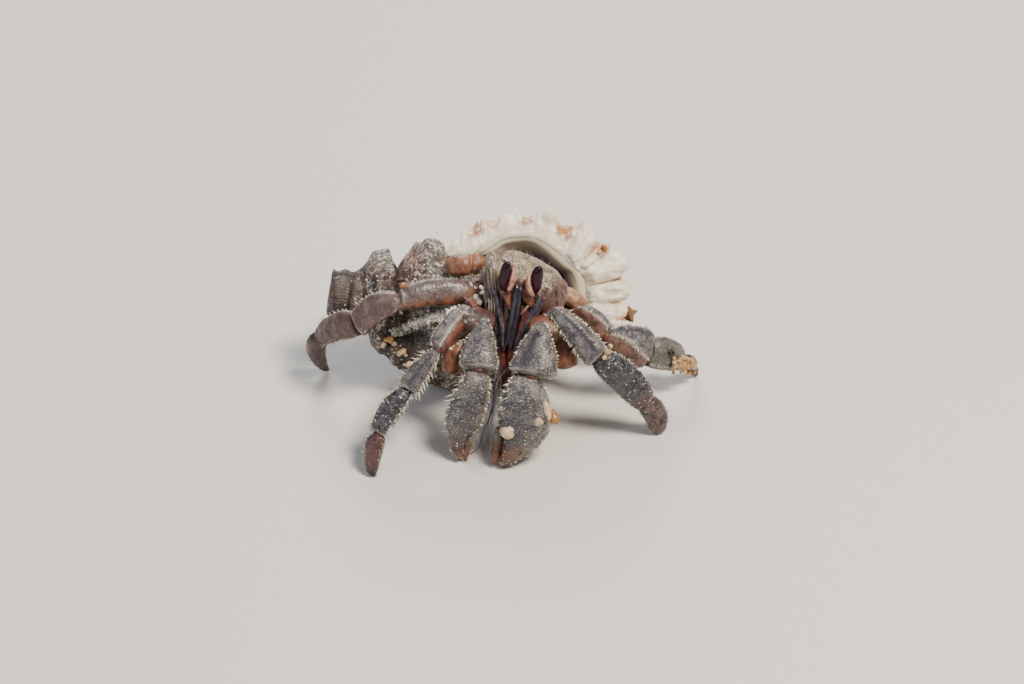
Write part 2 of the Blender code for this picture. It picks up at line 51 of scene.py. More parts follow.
MM = 0.001
SEAM = 1.5e-6               # corners nearer than this many metres are merged into one
HASH_STEPS = (73856093, 19349663, 83492791)     # large primes that scatter the cells
MAP_PATCH = 0.003           # side of one small copy's patch on the coat's map
FACING = np.array([0.0, -0.839, 0.545])        # the broad faces of the limbs look this way
ACROSS_MOUTH = np.array([0.0, 0.545, 0.839])   # square to it, up across the shell's mouth
FULL = 2 * math.pi
OUTER_EDGE = 92.0           # degrees from a plate's front to its outer edge
LOG = logging.getLogger("hermit crab")

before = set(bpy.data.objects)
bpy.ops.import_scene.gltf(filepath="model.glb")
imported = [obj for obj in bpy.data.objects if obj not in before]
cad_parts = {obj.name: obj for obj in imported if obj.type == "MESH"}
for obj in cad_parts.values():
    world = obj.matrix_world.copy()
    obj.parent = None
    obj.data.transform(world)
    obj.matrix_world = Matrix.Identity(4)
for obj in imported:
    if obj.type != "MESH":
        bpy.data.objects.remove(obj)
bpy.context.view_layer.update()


# ---- numbers


def unit(vectors: Array | Sequence[float]) -> Array:
    """Scales vectors to length one.

    Args:
        vectors: one vector, or one to a row.

    Returns:
        The same directions at length one.
    """
    vectors = np.asarray(vectors, float)
    return vectors / np.maximum(np.linalg.norm(vectors, axis=-1, keepdims=True), 1e-9)


def flowing(x: Array | float, knots: Sequence[Sequence[float]], column: int = 1) -> Array:
    """Reads a smooth curve through a few knots.

    Args:
        x: where to read it.
        knots: rows that start with x, in rising order.
        column: which entry of a row is wanted.

    Returns:
        The value at each x, level beyond the ends.
    """
    table = np.asarray(knots, float)
    xs, ys = table[:, 0], table[:, column]
    slope = np.gradient(ys, xs)
    x = np.clip(x, xs[0], xs[-1])
    i = np.clip(np.searchsorted(xs, x, side="right") - 1, 0, len(xs) - 2)
    span = xs[i + 1] - xs[i]
    t = (x - xs[i]) / span
    rise = ys[i + 1] - ys[i]
    return (
        ys[i]
        + rise * t * t * (3 - 2 * t)
        + span * t * (1 - t) * ((1 - t) * slope[i] - t * slope[i + 1])
    )


def fade(x: Array, start: float, end: float) -> Array:
    """Rises smoothly from 0 at start to 1 at end, or falls where end is the lower."""
    t = np.clip((x - start) / (end - start), 0.0, 1.0)
    return t * t * (3 - 2 * t)


def bell(x: Array, middle: float, reach: float) -> Array:
    """A smooth bump of height one."""
    return np.exp(-(((x - middle) / reach) ** 2))


def spot(left: Array, up: Array, at: tuple[float, float], half: tuple[float, float]) -> Array:
    """A smooth oval patch, 1 in its middle, by steps from the right eye."""
    return bell(np.hypot((left - at[0]) / half[0], (up - at[1]) / half[1]), 0.0, 1.0)


def closed(x: Array, reach: float) -> Array:
    """Rounds off both ends: 0 at 0 and at 1, and 1 farther in than the reach."""
    return np.sqrt(np.clip(x / reach, 0.0, 1.0)) * np.sqrt(np.clip((1 - x) / reach, 0.0, 1.0))


def fuller(x: Array, power: float) -> Array:
    """Swells a sine or cosine towards a box by a power under one, and keeps its sign."""
    return np.sign(x) * np.abs(x) ** power


def columns(*parts: Array) -> Array:
    """Sets arrays side by side as the last axis."""
    return np.stack(parts, axis=-1)


def hashed(cells: Array, salt: int) -> Array:
    """Gives each whole-numbered cell a lasting random number.

    Args:
        cells: whole numbers, three to a row.
        salt: picks one of many such patterns.

    Returns:
        A number from 0 to 1 for each row.
    """
    mixed = (cells.astype(np.int64) * HASH_STEPS).sum(-1) + salt * 40503
    mixed = ((mixed ^ (mixed >> 13)) * 1274126177) & 0xFFFFFFFF
    return ((mixed ^ (mixed >> 15)) & 0xFFFF) / 0xFFFF


def lumps(points: Array, size: float, salt: int = 0) -> Array:
    """Soft noise from -1 to 1, with lumps about one size apart.

    Args:
        points: places in millimetres.
        size: distance between lumps.
        salt: picks one of many such patterns.

    Returns:
        The noise at each point.
    """
    scaled = points / size
    cell = np.floor(scaled)
    t = scaled - cell
    t = t * t * (3 - 2 * t)
    total = np.zeros(len(points))
    for corner in np.ndindex(2, 2, 2):
        weight = np.prod(np.where(corner, t, 1 - t), axis=-1)
        total += weight * hashed(cell + corner, salt)
    return 2 * total - 1


def grains(points: Array, size: float, salt: int = 0) -> Array:
    """Round granules: 1 at the crown of each, 0 between them.

    Args:
        points: places in millimetres.
        size: distance between granules.
        salt: picks one of many such patterns.

    Returns:
        The height at each point.
    """
    scaled = points / size
    cell = np.floor(scaled)
    nearest = np.full(len(points), 9.0)
    for step in np.ndindex(3, 3, 3):
        here = cell + step - 1
        seed = columns(*(hashed(here, salt + k) for k in (1, 2, 3)))
        nearest = np.minimum(nearest, ((here + seed - scaled) ** 2).sum(-1))
    return np.clip(1 - nearest / 0.45, 0.0, 1.0)


# ---- meshes


def deselect() -> None:
    """Leaves nothing selected."""
    bpy.ops.object.select_all(action="DESELECT")


def edited(obj: Piece, *steps: Callable[[], object]) -> None:
    """Runs edit-mode operators on all of one mesh.

    Args:
        obj: the mesh.
        steps: the operators, in order.
    """
    deselect()
    obj.select_set(True)
    bpy.context.view_layer.objects.active = obj
    bpy.ops.object.mode_set(mode="EDIT")
    bpy.ops.mesh.select_all(action="SELECT")
    for step in steps:
        step()
    bpy.ops.object.mode_set(mode="OBJECT")


def modified(obj: Piece, kind: str, **settings: object) -> None:
    """Adds a modifier and applies it.

    Args:
        obj: the mesh.
        kind: the modifier's type.
        settings: its own properties.
    """
    deselect()
    obj.select_set(True)
    bpy.context.view_layer.objects.active = obj
    modifier = obj.modifiers.new(kind.title(), kind)
    for key, value in settings.items():
        setattr(modifier, key, value)
    bpy.ops.object.modifier_apply(modifier=modifier.name)


def coordinates(obj: Piece) -> Array:
    """The object's vertices.

    Args:
        obj: the mesh.

    Returns:
        The places in millimetres, one to a row.
    """
    flat = np.empty(len(obj.data.vertices) * 3, np.float32)
    obj.data.vertices.foreach_get("co", flat)
    return flat.reshape(-1, 3).astype(float) / MM


def write_coordinates(obj: Piece, points: Array) -> None:
    """Moves the object's vertices to points in millimetres."""
    obj.data.vertices.foreach_set("co", (points * MM).astype(np.float32).ravel())
    obj.data.update()


def write_marks(obj: Piece, marks: dict[str, Array]) -> None:
    """Stores numbers on the vertices, which the finishes read by name.

    Args:
        obj: the mesh.
        marks: a number for each vertex, by name.
    """
    for name, values in marks.items():
        layer = obj.data.attributes.get(name) or obj.data.attributes.new(name, "FLOAT", "POINT")
        spread = np.broadcast_to(np.asarray(values, np.float32), len(obj.data.vertices))
        layer.data.foreach_set("value", np.ascontiguousarray(spread))


def rolled(name: str, along: int, around: int, shape: Shape) -> Piece:
    """Adds a grid and rolls it up into a closed skin.

    Args:
        name: the piece's name.
        along: faces from the first end to the last.
        around: faces round it.
        shape: turns places along and round, both 0 to 1, into points and marks.

    Returns:
        The smooth-shaded skin, with its seam and its ends merged.
    """
    deselect()
    bpy.ops.mesh.primitive_grid_add(x_subdivisions=along, y_subdivisions=around, size=1.0)
    obj = bpy.context.active_object
    obj.name = obj.data.name = name
    flat = coordinates(obj) * MM + 0.5
    points, marks = shape(flat[:, 0], flat[:, 1])
    write_coordinates(obj, points)
    write_marks(obj, marks)
    edited(
        obj,
        lambda: bpy.ops.mesh.remove_doubles(threshold=SEAM),
        lambda: bpy.ops.mesh.normals_make_consistent(inside=False),
        lambda: bpy.ops.mesh.faces_shade_smooth(),
    )
    return obj


def grown_from(
    name: str, nodes: Sequence[str], voxel: float, smoothing: int,
    fillings: Sequence[tuple[Array, Sequence[float]]] = (),
) -> Piece:
    """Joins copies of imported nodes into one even, smooth skin.

    Args:
        name: the piece's name.
        nodes: the nodes that it stands for.
        voxel: size of the faces of the new skin.
        smoothing: rounds of smoothing.
        fillings: middles and half sizes of ovals that fill it out.

    Returns:
        The skin.
    """
    deselect()
    copies = []
    for centre, half in fillings:
        bpy.ops.mesh.primitive_uv_sphere_add(segments=32, ring_count=20, radius=1.0)
        copies.append(bpy.context.active_object)
        write_coordinates(copies[-1], coordinates(copies[-1]) * MM * half + centre)
    deselect()
    for node in nodes:
        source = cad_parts[node]
        copy = bpy.data.objects.new(name, source.data.copy())
        bpy.context.scene.collection.objects.link(copy)
        copy.data.materials.clear()
        copies.append(copy)
    for copy in copies:
        copy.select_set(True)
    bpy.context.view_layer.objects.active = copies[0]
    if len(copies) > 1:
        bpy.ops.object.join()
    obj = bpy.context.view_layer.objects.active
    obj.name = obj.data.name = name
    edited(obj, lambda: bpy.ops.mesh.remove_doubles(threshold=2e-6))
    modified(obj, "REMESH", mode="VOXEL", voxel_size=voxel * MM)
    modified(obj, "SMOOTH", factor=0.6, iterations=smoothing)
    edited(obj, lambda: bpy.ops.mesh.faces_shade_smooth())
    return obj


def normals_of(obj: Piece) -> Array:
    """The outward direction at each vertex.

    Args:
        obj: the mesh.

    Returns:
        The directions, of length one.
    """
    flat = np.empty(len(obj.data.vertices) * 3, np.float32)
    obj.data.vertex_normals.foreach_get("vector", flat)
    return flat.reshape(-1, 3).astype(float)


def raised(obj: Piece, height: Array) -> None:
    """Moves each vertex out along its normal by a height in millimetres."""
    write_coordinates(obj, coordinates(obj) + normals_of(obj) * height[:, None])


@dataclass
class Strewn:
    """Places for many copies of one small shape.

    Each row of the arrays is one copy: where it sits, which way its own Z axis points, its three
    half sizes, its tone from 0 to 1 and its place on the coat's map. Its turn about that axis is drawn when the mesh
    is made.
    """

    at: Array
    axis: Array
    size: Array
    tone: Array
    place: Array

    @staticmethod
    def joined(parts: Sequence["Strewn"]) -> "Strewn":
        """Puts several sets together.

        Args:
            parts: the sets.

        Returns:
            All their copies.
        """
        return Strewn(
            *(
                np.concatenate([getattr(part, key) for part in parts])
                for key in ("at", "axis", "size", "tone", "place")
            )
        )

    def mesh(self, name: str, template: Piece, rng: Draws) -> Piece:
        """Copies the template to every place, as one mesh, and removes the template.

        Args:
            name: the piece's name.
            template: a small closed shape of half size one about the origin.
            rng: for each copy's turn about its own axis.

        Returns:
            The joined mesh, with a tone on its vertices and the coat's map on its corners.
        """
        base = coordinates(template) * MM
        faces = [list(face.vertices) for face in template.data.polygons]
        count, corners = len(self.at), len(base)
        axis = unit(self.axis)
        helper = np.where(np.abs(axis[:, 2:]) < 0.9, (0.0, 0.0, 1.0), (1.0, 0.0, 0.0))
        side = unit(np.cross(helper, axis))
        up = np.cross(axis, side)
        turn = rng.uniform(0, FULL, count)[:, None]
        side, up = side * np.cos(turn) + up * np.sin(turn), up * np.cos(turn) - side * np.sin(turn)
        scaled = base[None] * self.size[:, None, :]
        points = (
            self.at[:, None]
            + scaled[..., :1] * side[:, None]
            + scaled[..., 1:2] * up[:, None]
            + scaled[..., 2:] * axis[:, None]
        )
        mesh = bpy.data.meshes.new(name)
        table = np.asarray(faces)
        steps = np.arange(count)[:, None, None] * corners
        loops = (table[None] + steps).reshape(-1)
        mesh.vertices.add(count * corners)
        mesh.vertices.foreach_set("co", (points * MM).astype(np.float32).ravel())
        mesh.loops.add(len(loops))
        mesh.loops.foreach_set("vertex_index", loops.astype(np.int32))
        mesh.polygons.add(count * len(table))
        mesh.polygons.foreach_set(
            "loop_start", np.arange(0, len(loops), table.shape[1], dtype=np.int32)
        )
        mesh.update(calc_edges=True)
        mesh.validate()
        obj = bpy.data.objects.new(name, mesh)
        bpy.context.scene.collection.objects.link(obj)
        write_marks(obj, {"tone": np.repeat(self.tone, corners)})
        patch = MAP_PATCH * (base[:, :2] - base[:, :2].min(0)) / (np.ptp(base[:, :2], axis=0) + 1e-9)
        at_vertex = (self.place[:, None] + patch[None]).reshape(-1, 2)
        layer = mesh.uv_layers.new(name="OFBake")
        layer.data.foreach_set("uv", at_vertex[loops].astype(np.float32).ravel())
        mesh.shade_smooth()
        bpy.data.objects.remove(template)
        return obj


def pebble(subdivisions: int = 1) -> Piece:
    """One small round grain of half size one.

    Args:
        subdivisions: how finely it is divided; 1 gives 20 faces and each further step four times as many.

    Returns:
        The template.
    """
    deselect()
    bpy.ops.mesh.primitive_ico_sphere_add(subdivisions=subdivisions, radius=1.0)
    return bpy.context.active_object


def spine(sides: int = 6, tip: float = 0.32) -> Piece:
    """One stout spine of length one along Z, with a blunt tip.

    Args:
        sides: how many sides it has.
        tip: radius of its tip, where the foot's is one.

    Returns:
        The template, in a few triangles.
    """
    deselect()
    place = (0, 0, 0.5)
    bpy.ops.mesh.primitive_cone_add(vertices=sides, radius1=1.0, radius2=tip, depth=1.0, location=place)
    obj = bpy.context.active_object
    write_coordinates(obj, coordinates(obj) + np.array(place) / MM)
    edited(obj, lambda: bpy.ops.mesh.quads_convert_to_tris())
    return obj


def bristle() -> Piece:
    """One bristle of length one along Z, thin at the tip and bent a little.

    Returns:
        The template, in a few triangles.
    """
    obj = spine(3, 0.55)
    points = coordinates(obj)
    top = points[:, 2] > 0.75 / MM
    points[top, :2] *= 0.25
    points[top, 0] += 1.6 / MM
    write_coordinates(obj, points)
    return obj


# ---- finishes


def linear(code: str) -> tuple[float, float, float, float]:
    """Turns an sRGB hex value into Blender's linear colour.

    Args:
        code: the hex value.

    Returns:
        Red, green, blue and a solid alpha.
    """
    parts = [int(code[i : i + 2], 16) / 255 for i in (1, 3, 5)]
    r, g, b = (p / 12.92 if p <= 0.04045 else ((p + 0.055) / 1.055) ** 2.4 for p in parts)
    return (r, g, b, 1.0)


def add(
    tree: Tree,
    kind: str,
    links: dict[int | str, Socket] | None = None,
    values: dict[int | str, object] | None = None,
    **settings: object,
) -> bpy.types.Node:
    """Adds a node.

    Args:
        tree: the material's nodes.
        kind: the node's type.
        links: sockets that feed its inputs, by input.
        values: constants for its inputs, by input.
        settings: its own properties.

    Returns:
        The node.
    """
    node = tree.nodes.new(kind)
    for key, value in settings.items():
        setattr(node, key, value)
    for key, value in (values or {}).items():
        node.inputs[key].default_value = value
    for key, socket in (links or {}).items():
        tree.links.new(socket, node.inputs[key])
    return node


@dataclass(frozen=True)
class Share:
    """How strongly something shows from place to place, from 0 to 1.

    The source is the name of a mark on the mesh, or else a grit: noise in object space, whose lumps
    are about that many millimetres apart. What lies between low and high is spread over 0 to 1,
    with soft ends.
    """

    source: str | float
    low: float | None = None
    high: float = 1.0
    detail: float = 3.0
    rough: float = 0.6

    def socket(self, tree: Tree) -> Socket:
        """Adds its nodes.

        Args:
            tree: the material's nodes.

        Returns:
            The socket that gives the share.
        """
        if isinstance(self.source, str):
            raw = add(tree, "ShaderNodeAttribute", attribute_name=self.source).outputs["Fac"]
        else:
            place = add(tree, "ShaderNodeTexCoord").outputs["Object"]
            values = {"Scale": 1 / (self.source * MM), "Detail": self.detail, "Roughness": self.rough}
            raw = add(tree, "ShaderNodeTexNoise", {"Vector": place}, values).outputs["Fac"]
        if self.low is None:
            return raw
        values = {"From Min": self.low, "From Max": self.high}
        node = add(tree, "ShaderNodeMapRange", {"Value": raw}, values, interpolation_type="SMOOTHSTEP")
        return node.outputs["Result"]


class Paint:
    """A ground colour and the layers over it, in order.

    Each layer is a colour or a paint of its own, then the shares that it shows by. It shows by their
    product, and a share may be a plain number.
    """

    def __init__(self, ground: str, *layers: tuple["str | Paint | Share | float", ...]) -> None:
        """Takes the ground and the layers."""
        self.ground = ground
        self.layers = layers

    def put(self, tree: Tree, node: bpy.types.Node, index: int | str) -> None:
        """Gives the paint to one input of a node.

        Args:
            tree: the material's nodes.
            node: the node that takes it.
            index: the input.
        """
        if not self.layers:
            node.inputs[index].default_value = linear(self.ground)
            return
        *under, (colour, *shares) = self.layers
        mix = add(tree, "ShaderNodeMix", data_type="RGBA")
        Paint(self.ground, *under).put(tree, mix, 6)
        (colour if isinstance(colour, Paint) else Paint(colour)).put(tree, mix, 7)
        showing = shares[0].socket(tree)
        for share in shares[1:]:
            product = add(tree, "ShaderNodeMath", {0: showing}, operation="MULTIPLY")
            if isinstance(share, Share):
                tree.links.new(share.socket(tree), product.inputs[1])
            else:
                product.inputs[1].default_value = share
            showing = product.outputs[0]
        tree.links.new(showing, mix.inputs[0])
        tree.links.new(mix.outputs[2], node.inputs[index])


@dataclass(frozen=True)
class Finish:
    """One finish: what is the same all over, its paint, its damp patches and its fine relief."""

    name: str
    roughness: float = 0.5
    coat: float = 0.0
    ior: float = 1.5
    subsurface: float = 0.0
    ground: str = "#808080"
    damp: tuple[Share, float, float] | None = None      # where, and the roughness added dry and damp
    relief: tuple[Share, float] | None = None           # its shape, and its depth in millimetres

    def paint(self) -> Paint:
        """Its colours."""
        return Paint(self.ground)

    def material(self) -> bpy.types.Material:
        """Makes the Principled material of this finish, once.

        Returns:
            The material.
        """
        found = bpy.data.materials.get(self.name)
        if found:
            return found
        material = bpy.data.materials.new(self.name)
        material.use_nodes = True
        tree = material.node_tree
        shader = tree.nodes["Principled BSDF"]
        values = {
            "Roughness": self.roughness, "IOR": self.ior, "Coat Weight": self.coat, "Coat Roughness": 0.12,
        }
        if self.subsurface:
            values |= {
                "Subsurface Weight": self.subsurface, "Subsurface Radius": (0.6, 0.3, 0.2),
                "Subsurface Scale": 0.4 * MM,
            }
        for key, value in values.items():
            shader.inputs[key].default_value = value
        self.paint().put(tree, shader, "Base Color")
        if self.damp:
            where, dry, wet = self.damp
            ends = {"To Min": self.roughness + dry, "To Max": self.roughness + wet}
            node = add(tree, "ShaderNodeMapRange", {"Value": where.socket(tree)}, ends)
            tree.links.new(node.outputs["Result"], shader.inputs["Roughness"])
        if self.relief:
            height, depth = self.relief
            values = {"Strength": 1.0, "Distance": depth * MM}
            bump = add(tree, "ShaderNodeBump", {"Height": height.socket(tree)}, values)
            tree.links.new(bump.outputs["Normal"], shader.inputs["Normal"])
        return material


@dataclass(frozen=True)
class WeatheredShell(Finish):
    """Old chalky shell, worn by surf: brown-grey, dull and crusted pale on its crowns, damp between."""

    deep: str = "#171314"
    middle: str = "#5A524C"
    crust: str = "#C9C1B3"
    stain: str = "#5E4132"
    damp: tuple[Share, float, float] | None = (Share(0.7, 0.4, 0.6), 0.16, -0.32)
    relief: tuple[Share, float] | None = (Share(0.16, detail=4.0, rough=0.7), 0.09)     # pitting

    def paint(self) -> Paint:
        """Brown-grey, dark in the hollows, with painted shade in the sutures and a painted shadow under the spire,
        crusted on the crowns, with rusty stains.

        Returns:
            The paint.
        """
        return Paint(
            self.deep,
            # the deep ground stays in low places, partly as painted shade
            (self.middle, Share("crown", 0.12, 0.62)),
            (self.stain, Share(2.2, 0.38, 0.66), 0.55),
            ("#7E4029", Share("rusty"), Share(0.5, 0.25, 0.5)),
            (self.crust, Share(0.26, 0.48, 0.62, 4.0), Share("crown", 0.3, 0.8), Share("crusty")),
            # painted shadow under the spire: nearly black
            ("#14141B", Share("painted_shadow")),
            ("#EDE8DC", Share("lip")),
        )


@dataclass(frozen=True)
class IvoryLip(Finish):
    """The lip's thick young shell: ivory with a soft sheen, painted shade in its grooves, and rust."""

    relief: tuple[Share, float] | None = (Share(0.22), 0.05)      # small pits and grains

    def paint(self) -> Paint:
        """Ivory ribs, tan and dark brown painted shade in the grooves with a tan worn patch, and orange stains in
        patches.

        Returns:
            The paint.
        """
        # painted shade in the grooves between the ribs, with a worn patch near the start of the rim
        groove_shade_and_wear = Share("groove_shade_and_wear", 0.15, 0.95)
        return Paint(
            "#E8DABC",
            ("#FCF7E6", Share(1.1, 0.3, 0.7)),
            ("#9C7B5A", groove_shade_and_wear, Share(0.5, 0.3, 0.62)),
            ("#C07434", Share("rust"), Share(0.34, 0.3, 0.55)),
            ("#4A3524", groove_shade_and_wear, Share(0.8, 0.56, 0.75)),
            # dark painted shade in the narrow grooves on the right
            ("#3A2A20", Share("painted_crevice_shade"), 0.85),
            ("#DCCFB4", Share("bevel")),
        )


@dataclass(frozen=True)
class ThroatEnamel(Finish):
    """The polished lining of the mouth, the glossiest part of the shell: beige, then taupe and plum, darkening into
    painted shade deep inside.
    """

    def paint(self) -> Paint:
        """From ivory at the edge, through beige, to dark taupe, and to painted shade deeper inside.

        Returns:
            The paint.
        """
        return Paint(
            "#DCCFB4",
            ("#A8957F", Share("depth", 0.02, 0.22)),
            ("#63525A", Share("depth", 0.16, 0.38)),
            # the darkest step is painted shade deep in the mouth
            ("#2A1F26", Share("depth", 0.36, 0.62)),
        )


@dataclass(frozen=True)
class Cuticle(Finish):
    """Crab shell plate: damp, mineral-stiffened cuticle, granular above, smooth and amber below.

    The eye gets one soft highlight, broken up by the granules and wet between them.
    """

    coat: float = 0.25
    relief: tuple[Share, float] | None = (Share(0.13, detail=2.0), 0.035)     # granules too fine for the mesh
    top: str = "#6A6468"
    shade: str = "#3D383F"
    under: str = "#713F2C"
    rim: str = "#B9AF9E"
    speck: str = "#9A9186"
    specks: float = 0.6
    damp: tuple[Share, float, float] | None = (Share(0.5, 0.42, 0.62), 0.18, -0.12)

    def paint(self) -> Paint:
        """Grey over amber, with pale granules, a dark stripe and pale edges.

        Returns:
            The paint.
        """
        above = Paint(self.top, (self.shade, Share(0.75, 0.34, 0.64)), (self.shade, Share("stripe")))
        upper = Share("upper")
        return Paint(
            self.under,
            ("#40241C", Share(0.9, 0.38, 0.64)),
            (above, upper),
            (self.speck, Share(0.11, 0.52, 0.66, 2.0), self.specks, upper, Share("granule")),
            # pale edges: the limbs' pale teeth, and on the head and cheeks partly painted highlight on the rib crests
            (self.rim, Share("margin")),
            # dark horny tips on the limbs, and painted shade low on the face
            ("#1E1416", Share("horn_tip_and_shade")),
        )


@dataclass(frozen=True)
class Plain(Finish):
    """Smooth cuticle or skin of one colour with a little mottling."""

    main: str = "#808080"
    other: str = "#606060"
    size: float = 0.5
    # colour of a painted highlight along the edges
    edge: str = ""

    def paint(self) -> Paint:
        """Two near colours in soft patches, and a painted highlight along the edges where an edge colour is given.

        Returns:
            The paint.
        """
        mottled = (self.other, Share(self.size, 0.38, 0.64))
        if not self.edge:
            return Paint(self.main, mottled)
        return Paint(self.main, mottled, (self.edge, Share("margin"), Share(0.3, 0.4, 0.6)))


@dataclass(frozen=True)
class Toned(Finish):
    """Many small things that run from a first colour to a last by their own tone."""

    first: str = "#E8E0D0"
    last: str = "#6B4A30"

    def paint(self) -> Paint:
        """From the first colour to the last."""
        return Paint(self.first, (self.last, Share("tone")))


@dataclass(frozen=True)
class EyeLens(Finish):
    """The clear cuticle over a dark compound eye: plum-black under a wet, glassy surface."""

    def paint(self) -> Paint:
        """Plum, darker towards the top."""
        return Paint("#3A1830", ("#220C1A", Share("along", 0.1, 0.9)))


# chalk that the surf has eaten: dull, with damp glints in the pits
WEATHERED = WeatheredShell("weathered chalky shell")
# young shell that light enters a little: creamy, never pure white
IVORY = IvoryLip("ivory shell lip", roughness=0.38, subsurface=0.12)
# polished by the animal: a clear soft highlight along the bevel
THROAT = ThroatEnamel("smooth throat enamel", roughness=0.22, coat=0.3)
# thin ribbed plate of the cheeks: silky, with fine pale lines, partly painted highlight, and painted shade between
# the ribs
FLANK = Cuticle(
    "striated flank plate", roughness=0.4, top="#7B7270", shade="#453A3D", under="#6E4034",
    rim="#B9AF9F", speck="#A89E92",
)
# thick granular plate with dried silt on it: almost matt beige
HEAD = Cuticle(
    "granular beige head shield", roughness=0.42, top="#A3947C", shade="#5C4E3E", under="#5C3836",
    rim="#B9AF9F", speck="#D2C6AA", specks=0.9,
)
# granular limb plates: pale granules over damp grey, amber where the face turns under
LIMB = Cuticle("grey granular limb plate", roughness=0.4, coat=0.12, top="#6C6864", shade="#35313A")
LIMB_RIDGE = Cuticle(
    "grey limb plate with a brown face", roughness=0.35, top="#656162", shade="#34303A", under="#745548"
)
LIMB_PLUM = Cuticle(
    "plum-grey limb plate", roughness=0.38, coat=0.16, top="#61524F", shade="#443638", under="#86543A", specks=0.3
)
# smoother, hairless limb plates: browner, since fewer granules scatter the light
LIMB_TAN = Cuticle(
    "brown-grey limb plate", roughness=0.4, coat=0.12, top="#6C5552", shade="#4A3838", under="#84583F", specks=0.2
)
LIMB_BROWN = Cuticle(
    "plum-brown limb plate", roughness=0.42, coat=0.1, top="#523532", shade="#3A2524", under="#5E3A2E", specks=0.05
)
# the arms behind the hands, wet and in shade: dark and warm
ARM_DARK = Cuticle(
    "dark maroon arm cuticle", roughness=0.45, coat=0.08, top="#443230", shade="#2C1E20", under="#40241F", specks=0.1
)
ARM_AMBER = Cuticle(
    "amber arm cuticle", roughness=0.42, coat=0.12, top="#80543E", shade="#553629", under="#6A3E2E", specks=0.1
)
# wettest plates, low on the legs: ink-dark with sharp glints
LIMB_INK = Cuticle(
    "blue-black limb plate", roughness=0.27, top="#38363D", shade="#17161B", under="#4E372E", specks=0.4,
    speck="#8E8A86",
)
LIMB_SPECKLED = Cuticle(
    "speckled brown-grey limb tip", roughness=0.4, coat=0.1, top="#513C38", shade="#2E2223", under="#543C34",
    specks=0.9, speck="#94857A",
)
# a thin film of algae greys the plate and turns it green
LIMB_MOSS = Cuticle(
    "green-grey limb plate", roughness=0.34, top="#68665C", shade="#423F39", under="#5E4638", specks=0.6
)
# the hands' coarse granules catch the most light: pale grey crowns on a dark ground
HAND = Cuticle(
    "grey granular claw plate", roughness=0.42, coat=0.1, top="#736F68", shade="#302D36", under="#6B4A38",
    speck="#BDB5A6", specks=0.85,
)
# unmineralised horn: dark, smooth and waxy
HORN = Cuticle(
    "dark horny claw tip", roughness=0.36, top="#5A3834", shade="#331F1E", under="#482A24", specks=0.15,
    speck="#7A6A5A", rim="#6B5344",
)
# thin cuticle over flesh: light enters and comes out warm
AMBER = Plain(
    "amber small-limb cuticle", roughness=0.5, coat=0.05, subsurface=0.25, main="#95664C", other="#6B4433", size=0.7
)
TAN = Plain(
    "pale tan small-limb cuticle", roughness=0.48, coat=0.08, subsurface=0.25, main="#B48D72", other="#8E6249",
    size=0.6,
)
HAUNCH = Plain(
    "translucent amber limb base", roughness=0.42, coat=0.12, subsurface=0.25, main="#8F5E44", other="#5A372B",
    size=0.9,
)
# smooth wet cuticle of the face: long clear highlights that draw each blade
FLANK_DARK = Plain("purple-brown flank", roughness=0.38, coat=0.15, main="#5E3C3E", other="#3C2629", size=0.8)
MAROON = Plain("maroon mouth-limb cuticle", roughness=0.3, coat=0.3, main="#4A2226", other="#6A3A28", size=0.5)
FEELER = Plain("blue-black feeler", roughness=0.28, coat=0.4, main="#1D1A26", other="#2E2A36", size=0.4)
# the edge colour of these three is a painted highlight along each blade's sides
PEDUNCLE = Plain(
    "navy feeler base", roughness=0.3, coat=0.4, main="#2A2836", other="#5A4E58", size=0.5, edge="#8F8A90"
)
BLADE = Plain(
    "plum mouth blade", roughness=0.32, coat=0.3, main="#4E3A42", other="#2C2530", size=0.45, edge="#A39A98"
)
LATH = Plain(
    "grey flank lath", roughness=0.32, coat=0.2, main="#6B6264", other="#373136", size=0.5, edge="#9A9290"
)
STALK = Plain("salmon eyestalk", roughness=0.35, coat=0.3, main="#AC7F6C", other="#7A4E3E", size=0.4)
BROW = Plain("orange-brown brow plate", roughness=0.36, coat=0.15, main="#7A4832", other="#3E201C", size=0.35)
# bare flexible skin: matt and brown
SKIN = Plain("soft joint skin", roughness=0.5, main="#64382A", other="#3E221C", size=0.5)
# tight clear cuticle: one small bright glint
LENS = EyeLens("eye lens", roughness=0.16, ior=1.3)
# horny hair, pale where it is dry and tan where it is wet
HAIR = Toned("setae", roughness=0.4, first="#D9CDB8", last="#4A3222")
# chalky granules and spines: pale and a little glossy, so they glint along the edges
BEAD = Toned("pale granules", roughness=0.3, coat=0.3, first="#EFE9DC", last="#8E7E6C")
SPINE = Toned("pale spines", roughness=0.3, coat=0.2, first="#E6DDCB", last="#9A8468")
# wet quartz and shell sand: light enters it, so it glows cream to orange
SAND = Toned("sand grains", roughness=0.3, coat=0.2, subsurface=0.4, first="#D6C7A4", last="#976420")
PEARL = Toned("pearly granules", roughness=0.22, coat=0.5, subsurface=0.3, first="#C9C0B4", last="#8A7A70")
WET_SAND = Toned("wet sand on the shell", roughness=0.2, coat=0.3, first="#E6E0D4", last="#4A433D")
WHITE_BEADS = Toned("wet white beads on the spire", roughness=0.15, coat=0.5, first="#F4F0E8", last="#7A7064")
# a dry horny growth: matt brown
GROWTH = Toned("brown shell growth", roughness=0.5, first="#7A5A34", last="#7A5A34")
# rotten plant: nearly black, wet
SOOT = Plain("black scrap", roughness=0.3, main="#15130F", other="#26221C", size=0.2)
# dull paper: no reflection of the crab
FLOOR = Finish("matt studio floor", roughness=0.85, ground="#D9D5CF")


# ---- bookkeeping

PIECES: list[Piece] = []


